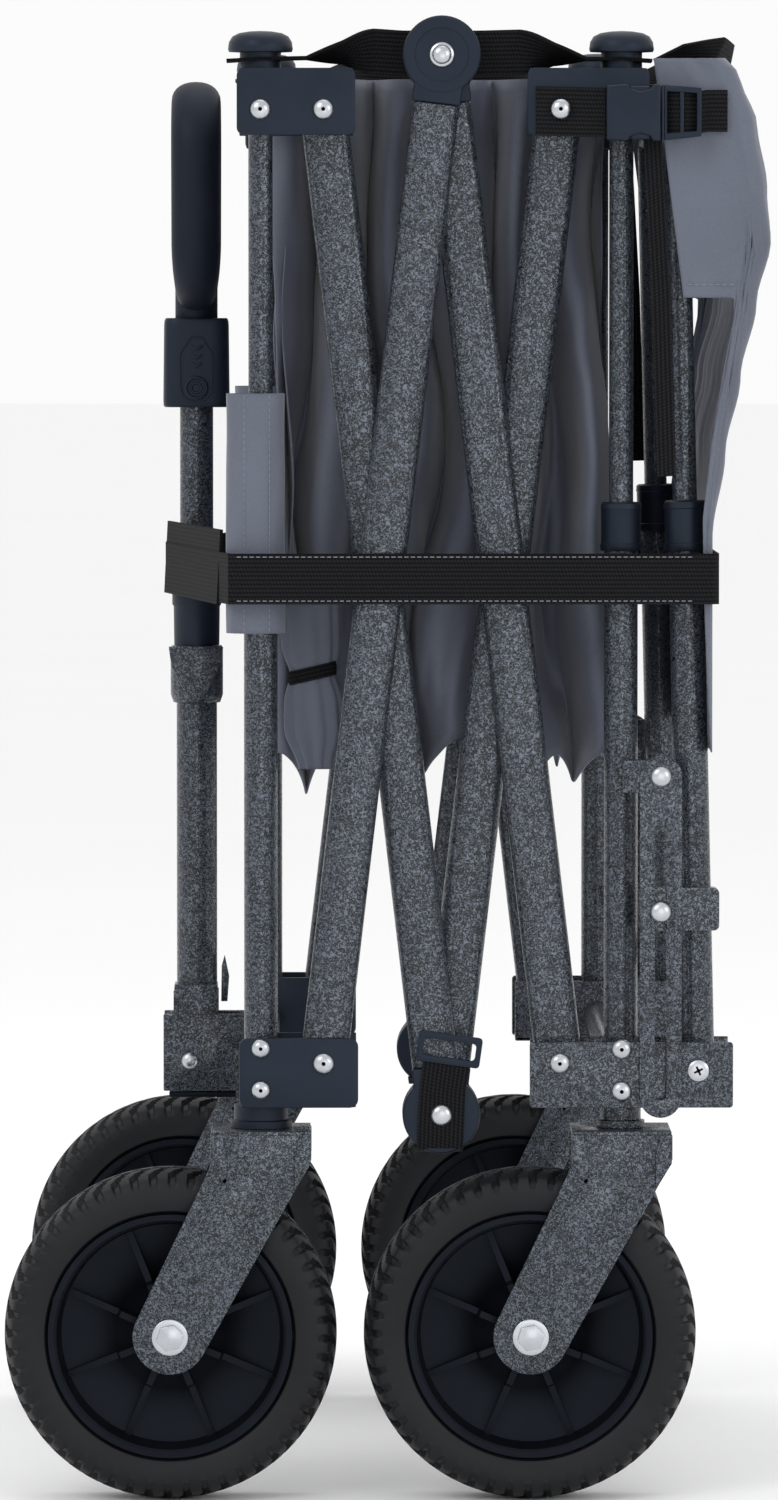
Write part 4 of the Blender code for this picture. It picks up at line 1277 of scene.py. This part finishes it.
# Tailgate cloth: a panel behind the tubes with a flap turned round each side
gateProfile = [
    (0.400, 0.1722), (0.470, 0.1722), (0.515, 0.1722), (0.560, 0.1790), (0.600, 0.1870), (0.640, 0.1955),
    (0.673, 0.2030), (0.700, 0.2000), (0.735, 0.1945), (0.760, 0.1865), (0.772, 0.1780),
]


def profileAt(table, z):
    if z <= table[0][0]:
        return table[0][1]
    for (z0, x0), (z1, x1) in zip(table, table[1:]):
        if z <= z1:
            return x0 + (x1 - x0) * smoothStep(z0, z1, z)
    return table[-1][1]


def gateClothPoint(s, v, seed):
    edge = min(s, 1 - s)
    side = -1 if s < 0.5 else 1
    flap = 1 - smoothStep(0.085, 0.125, edge)
    bottom = 0.400 + 0.243 * flap
    z = 0.770 + (bottom - 0.770) * v
    rear = profileAt(gateProfile, z)
    loose = smoothStep(0.520, 0.580, z)
    front = 0.1405 + 0.016 * v
    if edge < 0.10:
        t = edge / 0.10
        x = front + (rear - 0.008 - front) * t
        y = 0.2476 + 0.0016 * loose * ripple(t * 3, v * 4, 0, 1.2, seed)
    elif edge < 0.13:
        t = (edge - 0.10) / 0.03 * math.pi / 2
        x = rear - 0.008 + 0.008 * math.sin(t)
        y = 0.2474 - 0.0090 * (1 - math.cos(t))
    else:
        t = (edge - 0.13) / 0.37
        x = rear - loose * (
            0.0035 * (0.5 - 0.5 * math.cos(t * 24 + 3 * v)) + 0.003 * ripple(t * 9, v * 3, 0, 1.2, seed)
        )
        y = 0.2384 * (1 - t)
        x = max(x, 0.1716)
    return Vector((x, side * y, z + 0.003 * ripple(s * 9, 1, 2, 1, seed) * v * (1 - flap)))


rows, columns = 60, 220
grid = [[gateClothPoint(j / columns, i / rows, 31.0) for j in range(columns + 1)] for i in range(rows + 1)]
piece = sheetMesh("tailgate_panel", grid, (0.62, 0.37), cloth, thickness=0.0008)
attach(piece, "tailgate_top")
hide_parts("tailgate_cloth")


# Webbing: ribbons along a path, with thickness and a flat UV map
def ribbon(name, path, width, thickness, body, closed=False, material=None):
    samples = []
    count = len(path) if closed else len(path) - 1
    for i in range(count):
        a, b = path[i], path[(i + 1) % len(path)]
        pieces = max(1, int((Vector(b[0]) - Vector(a[0])).length / 0.003))
        for k in range(pieces):
            t = k / pieces
            samples.append((
                Vector(a[0]).lerp(Vector(b[0]), t), Vector(a[1]).lerp(Vector(b[1]), t).normalized(),
            ))
    if not closed:
        samples.append((Vector(path[-1][0]), Vector(path[-1][1]).normalized()))
    bm = bmesh.new()
    uvLayer = bm.loops.layers.uv.new("flat")
    rings, runs, run = [], [], 0.0
    total = len(samples)
    for i, (point, across) in enumerate(samples):
        after = samples[(i + 1) % total if closed else min(i + 1, total - 1)][0]
        before = samples[i - 1 if closed or i else 0][0]
        tangent = (after - before).normalized()
        normal = tangent.cross(across).normalized()
        corners = [
            (-0.5, -0.5), (-0.5, 0.5), (-0.25, 0.5), (0.25, 0.5), (0.5, 0.5), (0.5, -0.5), (0.25, -0.5),
            (-0.25, -0.5),
        ]
        rings.append([
            bm.verts.new(point + across * (width * u) + normal * (thickness * w)) for u, w in corners
        ])
        runs.append(run)
        run += (after - point).length
    runs.append(run)
    spread = [0, 0, 0.25, 0.75, 1, 1, 0.75, 0.25]
    for i in range(total if closed else total - 1):
        a, b = rings[i], rings[(i + 1) % total]
        for j in range(8):
            k = (j + 1) % 8
            face = bm.faces.new((a[j], a[k], b[k], b[j]))
            for loop, (r, c) in zip(
                face.loops, ((runs[i], j), (runs[i], k), (runs[i + 1], k), (runs[i + 1], j)),
            ):
                loop[uvLayer].uv = (r, spread[c] * width)
            face.smooth = True
    if not closed:
        bm.faces.new(rings[0])
        bm.faces.new(list(reversed(rings[-1])))
    bmesh.ops.recalc_face_normals(bm, faces=bm.faces)
    mesh = bpy.data.meshes.new(name)
    bm.to_mesh(mesh)
    bm.free()
    mesh.materials.append(material or webbing)
    sharpen(mesh, 50)
    piece = bpy.data.objects.new(name, mesh)
    scene.collection.objects.link(piece)
    if body:
        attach(piece, body)
    return piece


upright = (0, 0, 1)
hemY = 0.2290
for label, side in sides:
    level, edge = (0, side * 1.0, 0), (0, side * 0.15, 1)
    path = [
        ((-0.0865, side * hemY, 0.7690), level), ((-0.0685, side * hemY, 0.7700), level),
        ((-0.0440, side * hemY, 0.7705), level),
        ((-0.0250, side * 0.2260, 0.7735), (0, side * 1.0, 0.5)), ((-0.0080, side * 0.2200, 0.7745), edge),
        ((0.0080, side * 0.2175, 0.7735), upright), ((0.0480, side * 0.2175, 0.7735), upright),
        ((0.0700, side * 0.2200, 0.7740), edge), ((0.0880, side * 0.2280, 0.7725), (0, side * 1.0, 0.5)),
        ((0.1050, side * hemY, 0.7700), level), ((0.1240, side * hemY, 0.7700), level),
        ((0.1400, side * hemY, 0.7690), level),
    ]
    hem = ribbon(f"hem_binding_{label}", path, 0.024, 0.0018, None)
    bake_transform(hem)
    path = [((0.1400, side * 0.2462, 0.7560), (1, 0, 0.1)), ((0.1400, side * 0.2482, 0.7250), (1, 0, 0.1))]
    path += [((0.1445, side * 0.2484, 0.6450), (1, 0, 0.06)), ((0.1475, side * 0.2484, 0.5480), (1, 0, 0.03))]
    ribbon(f"gate_binding_{label}", path, 0.0100, 0.0008, "tailgate_top")
path = [
    ((0.1490, -0.2290, 0.7735), (1, 0, 0.5)), ((0.1760, -0.2100, 0.7740), (0.5, 0, 1)),
    ((0.1840, -0.1800, 0.7700), (0.2, 0, 1)),
]
path += [
    ((0.1840, 0.1800, 0.7700), (0.2, 0, 1)), ((0.1760, 0.2100, 0.7740), (0.5, 0, 1)),
    ((0.1490, 0.2290, 0.7735), (1, 0, 0.5)),
]
ribbon("gate_hem", path, 0.018, 0.0014, "tailgate_top")
path = [((-0.0585, -0.1960, 0.7600), upright), ((-0.0585, 0.1960, 0.7600), upright)]
ribbon("front_hem", path, 0.020, 0.0016, "front_top")

# Storage strap round the folded wagon
ring = [
    (0.1715, -0.2516), (0.1748, -0.2480), (0.1748, 0.2480), (0.1715, 0.2516), (-0.0850, 0.2516),
    (-0.1222, 0.0120), (-0.1222, -0.0120), (-0.0850, -0.2516),
]
strap = ribbon(
    "strap_band", [((x, y, 0.4935), upright) for x, y in ring], 0.027, 0.0019, "front_frame", closed=True,
)
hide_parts("storage_strap")
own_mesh(strap)


tabPath = [((-0.0905, -0.2165, 0.4990), (0.05, 0, 1)), ((-0.1222, -0.0100, 0.4990), (0.05, 0, 1))]
tab = ribbon(
    "strap_tab", [((x, y - 0.0020, z), up) for (x, y, z), up in tabPath], 0.040, 0.0016, "front_frame",
)
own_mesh(tab)


# Buckle on the near rear corner
def buckleSocket():
    low, high = -0.2636, -0.2534
    outline = [
        (0.1150, 0.7265), (0.1262, 0.7258), (0.1275, 0.7285), (0.1330, 0.7300), (0.1385, 0.7285),
        (0.1395, 0.7258), (0.1438, 0.7258),
    ]
    outline += [
        (0.1438, 0.7560), (0.1395, 0.7560), (0.1385, 0.7535), (0.1330, 0.7520), (0.1275, 0.7535),
        (0.1262, 0.7560), (0.1150, 0.7553),
    ]
    parts = [made(prism, outline, low, high)]
    parts.append(made(block, (0.1275, -0.2612, 0.7268), (0.1385, -0.2560, 0.7550)))
    return joined(*parts)


def bucklePlug():
    parts = [made(block, (0.1442, -0.2622, 0.7262), (0.1458, -0.2548, 0.7556))]
    outline = [(0.1458, 0.7262), (0.1655, 0.7285), (0.1655, 0.7540), (0.1458, 0.7556)]
    inner = [(0.1472, 0.7300), (0.1630, 0.7312), (0.1630, 0.7512), (0.1472, 0.7522)]
    rings = [
        [(u, h, v) for u, v in shape]
        for shape, h in ((outline, -0.2622), (outline, -0.2552), (inner, -0.2552), (inner, -0.2622))
    ]
    frameRing = bmesh.new()
    loft(frameRing, rings, closed=True)
    parts.append(frameRing)
    parts.append(made(block, (0.1540, -0.2618, 0.7300), (0.1562, -0.2560, 0.7522)))
    return joined(*parts)


show("buckle_female", buckleSocket(), plastic, "rear_top", ["buckle_socket"], bevel=0.0012, steps=3)
show("buckle_male", bucklePlug(), plastic, "tailgate_top", ["buckle_plug"], bevel=0.0007)
path = [
    ((0.0777, -0.2522, 0.7420), upright), ((0.1000, -0.2524, 0.7414), upright),
    ((0.1148, -0.2560, 0.7410), upright),
]
ribbon("buckle_webbing", path, 0.0262, 0.0018, "rear_top")
path = [
    ((0.1472, -0.2560, 0.7410), upright), ((0.1550, -0.2598, 0.7410), upright),
    ((0.1630, -0.2560, 0.7410), upright),
]
path += [((0.1690, -0.2520, 0.7420), upright), ((0.1795, -0.2500, 0.7420), upright)]
ribbon("buckle_tail", path, 0.0222, 0.0016, "tailgate_top")


# Webbing loop over the lower middle pivot, with its open plastic buckle
for label, side in sides:
    out = side * 0.2350
    path = [
        ((0.0262, side * 0.2065, 0.1900), (1, 0, 0)), ((0.0268, side * 0.2200, 0.1856), (1, 0, 0)),
        ((0.0272, side * 0.2330, 0.1880), (1, 0, 0)),
    ]
    path += [
        ((0.0276, out, 0.2000), (1, 0, 0)), ((0.0285, out, 0.2180), (1, 0, 0.1)),
        ((0.0310, side * 0.2362, 0.2370), (1, 0, -0.12)),
    ]
    ribbon(f"lower_loop_{label}", path, 0.0250, 0.0012, "bars_b")
    tilt = math.radians(-8)
    rings = []
    for reach, height, y in (
        (0.0172, 0.0082, 0.2352), (0.0172, 0.0082, 0.2378), (0.0142, 0.0046, 0.2378),
        (0.0142, 0.0046, 0.2352),
    ):
        ring = []
        for u, v in roundedBox(-reach, -height, reach, height, 0.0020, 3):
            ring.append((
                0.0322 + u * math.cos(tilt) - v * math.sin(tilt), side * y,
                0.2415 + u * math.sin(tilt) + v * math.cos(tilt),
            ))
        rings.append(ring)
    frameRing = bmesh.new()
    loft(frameRing, rings, closed=True)
    show(f"lower_buckle_{label}", frameRing, plastic, "bars_b", bevel=0.0004)


# Pouch gathered beside each front post, drawn in by a black band
pouchSet = {
    "centre": (-0.0430, 0.2035), "half": (0.0150, 0.0055), "top": 0.4790, "bottom": 0.3900, "folds": 9,
}
for label, side in sides:
    grid = []
    for i in range(41):
        v = i / 40
        z = pouchSet["top"] + (pouchSet["bottom"] - pouchSet["top"]) * v
        pinch = 1 - 0.24 * math.exp(-(((v - 0.42) / 0.10) ** 2)) - 0.45 * smoothStep(0.75, 1.0, v)
        row = []
        for j in range(91):
            a = 2 * math.pi * j / 90
            crease = 1 + 0.09 * math.sin(pouchSet["folds"] * a + 2 * v) * (0.4 + v) + 0.08 * ripple(
                math.cos(a) * 2, math.sin(a) * 2, v * 3, 1, 51.0,
            )
            crease = crease if 0 < j < 90 else 1.0
            x = pouchSet["centre"][0] + pouchSet["half"][0] * pinch * crease * math.cos(a) + 0.004 * v
            row.append(Vector((
                x, side * (pouchSet["centre"][1] + pouchSet["half"][1] * pinch * crease * math.sin(a)), z,
            )))
        grid.append(row)
    piece = sheetMesh(f"pouch_{label}", grid, (0.080, 0.089), cloth)
    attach(piece, "front_top")
    path = []
    for j in range(24):
        a = 2 * math.pi * j / 24
        path.append((
            (
                pouchSet["centre"][0] + 0.0018 + 0.0126 * math.cos(a),
                side * (pouchSet["centre"][1] + 0.0052 * math.sin(a)), 0.4415 + 0.003 * math.cos(a),
            ),
            upright,
        ))
    ribbon(f"pouch_band_{label}", path, 0.0075, 0.0012, "front_top", closed=True)


# Sleeves round the front posts, stitched down the front
sleeveSet = {"x": -0.0713, "top": 0.5920, "height": 0.128, "half": (0.0152, 0.0128)}


def sleeve(side, seed):
    centre = Vector((sleeveSet["x"], side * postY, 0))
    along, across = sleeveSet["half"]
    grid = []
    for i in range(31):
        v = i / 30
        z = sleeveSet["top"] - sleeveSet["height"] * v
        row = []
        for j in range(61):
            a = 2 * math.pi * j / 60
            flare = 1 + 0.05 * ripple(math.cos(a) * 2, math.sin(a) * 2, v * 3, 1.0, seed)
            row.append(centre + Vector((along * math.cos(a) * flare, side * across * math.sin(a) * flare, z)))
        grid.append(row)
    return grid


for label, side in sides:
    piece = sheetMesh(f"post_sleeve_{label}", sleeve(side, 41.0), (0.085, 0.128), cloth)
    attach(piece, "front_top")


# Stitches, set along a path by Geometry Nodes
stitchSet = {"spacing": 0.0034, "size": (0.0022, 0.0005, 0.0005)}


def stitchTree():
    tree = bpy.data.node_groups.new("stitches", "GeometryNodeTree")
    tree.interface.new_socket("Path", in_out="INPUT", socket_type="NodeSocketGeometry")
    tree.interface.new_socket("Spacing", in_out="INPUT", socket_type="NodeSocketFloat")
    tree.interface.new_socket("Size", in_out="INPUT", socket_type="NodeSocketVector")
    tree.interface.new_socket("Thread", in_out="OUTPUT", socket_type="NodeSocketGeometry")
    source = tree.nodes.new("NodeGroupInput")
    target = tree.nodes.new("NodeGroupOutput")

    def node(kind, links=(), **settings):
        made = tree.nodes.new(kind)
        for key, value in settings.items():
            setattr(made, key, value)
        for output, key in links:
            tree.links.new(output, made.inputs[key])
        return made

    curve = node("GeometryNodeMeshToCurve", [(source.outputs["Path"], "Mesh")])
    spaced = node(
        "GeometryNodeResampleCurve",
        [(curve.outputs["Curve"], "Curve"), (source.outputs["Spacing"], "Length")],
        mode="LENGTH",
    )
    tangent = node("GeometryNodeInputTangent")
    turn = node("FunctionNodeAlignRotationToVector", [(tangent.outputs["Tangent"], "Vector")], axis="X")
    stitch = node("GeometryNodeMeshCube", [(source.outputs["Size"], "Size")])
    put = node(
        "GeometryNodeInstanceOnPoints",
        [
            (spaced.outputs["Curve"], "Points"), (stitch.outputs["Mesh"], "Instance"),
            (turn.outputs["Rotation"], "Rotation"),
        ],
    )
    real = node("GeometryNodeRealizeInstances", [(put.outputs["Instances"], "Geometry")])
    coloured = node("GeometryNodeSetMaterial", [(real.outputs["Geometry"], "Geometry")])
    coloured.inputs["Material"].default_value = thread
    tree.links.new(coloured.outputs["Geometry"], target.inputs["Thread"])
    return tree


stitches = stitchTree()


def stitchAlong(name, points, body):
    mesh = bpy.data.meshes.new(name)
    mesh.from_pydata(points, [(i, i + 1) for i in range(len(points) - 1)], [])
    piece = bpy.data.objects.new(name, mesh)
    scene.collection.objects.link(piece)
    sewing = piece.modifiers.new("stitches", "NODES")
    sewing.node_group = stitches
    sockets = {item.name: item.identifier for item in stitches.interface.items_tree if item.in_out == "INPUT"}
    sewing[sockets["Spacing"]] = stitchSet["spacing"]
    sewing[sockets["Size"]] = stitchSet["size"]
    graph = bpy.context.evaluated_depsgraph_get()
    piece.data = bpy.data.meshes.new_from_object(piece.evaluated_get(graph))
    piece.modifiers.clear()
    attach(piece, body)
    return piece


for label, side in sides:
    for offset, name in ((-0.0060, "fore"), (0.0075, "aft")):
        x = -0.0713 + offset
        y = 0.2280 + 0.0131 * math.sqrt(max(0.0, 1 - (offset / 0.0152) ** 2)) + 0.0004
        stitchAlong(
            f"sleeve_stitches_{name}_{label}", [(x, side * y, 0.5900 - 0.0062 * i) for i in range(21)],
            "front_top",
        )
    flapEdge = [(0.1600 + 0.0022 * i, side * 0.2490, 0.6500) for i in range(11)]
    stitchAlong(f"flap_stitches_{label}", flapEdge, "tailgate_top")
for z in (0.4818, 0.5052):
    line = stitchAlong(
        f"strap_stitches_{round(z * 1000)}", [(-0.080 + 0.01 * i, -0.2528, z) for i in range(25)],
        "front_frame",
    )
    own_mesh(line)
print("cloth made")


# CAD pieces still shown take the same finishes
finishes = {"hammered": paint, "plastic": plastic, "tyre": rubber, "cloth": cloth, "webbing": webbing}
slotOf = {s["node"]: s["material_slot"] for s in frame["record"]["subparts"]}
for nodeName, node in frame["nodes"].items():
    node.data.materials.clear()
    node.data.materials.append(finishes[slotOf[nodeName]])

print("ready")
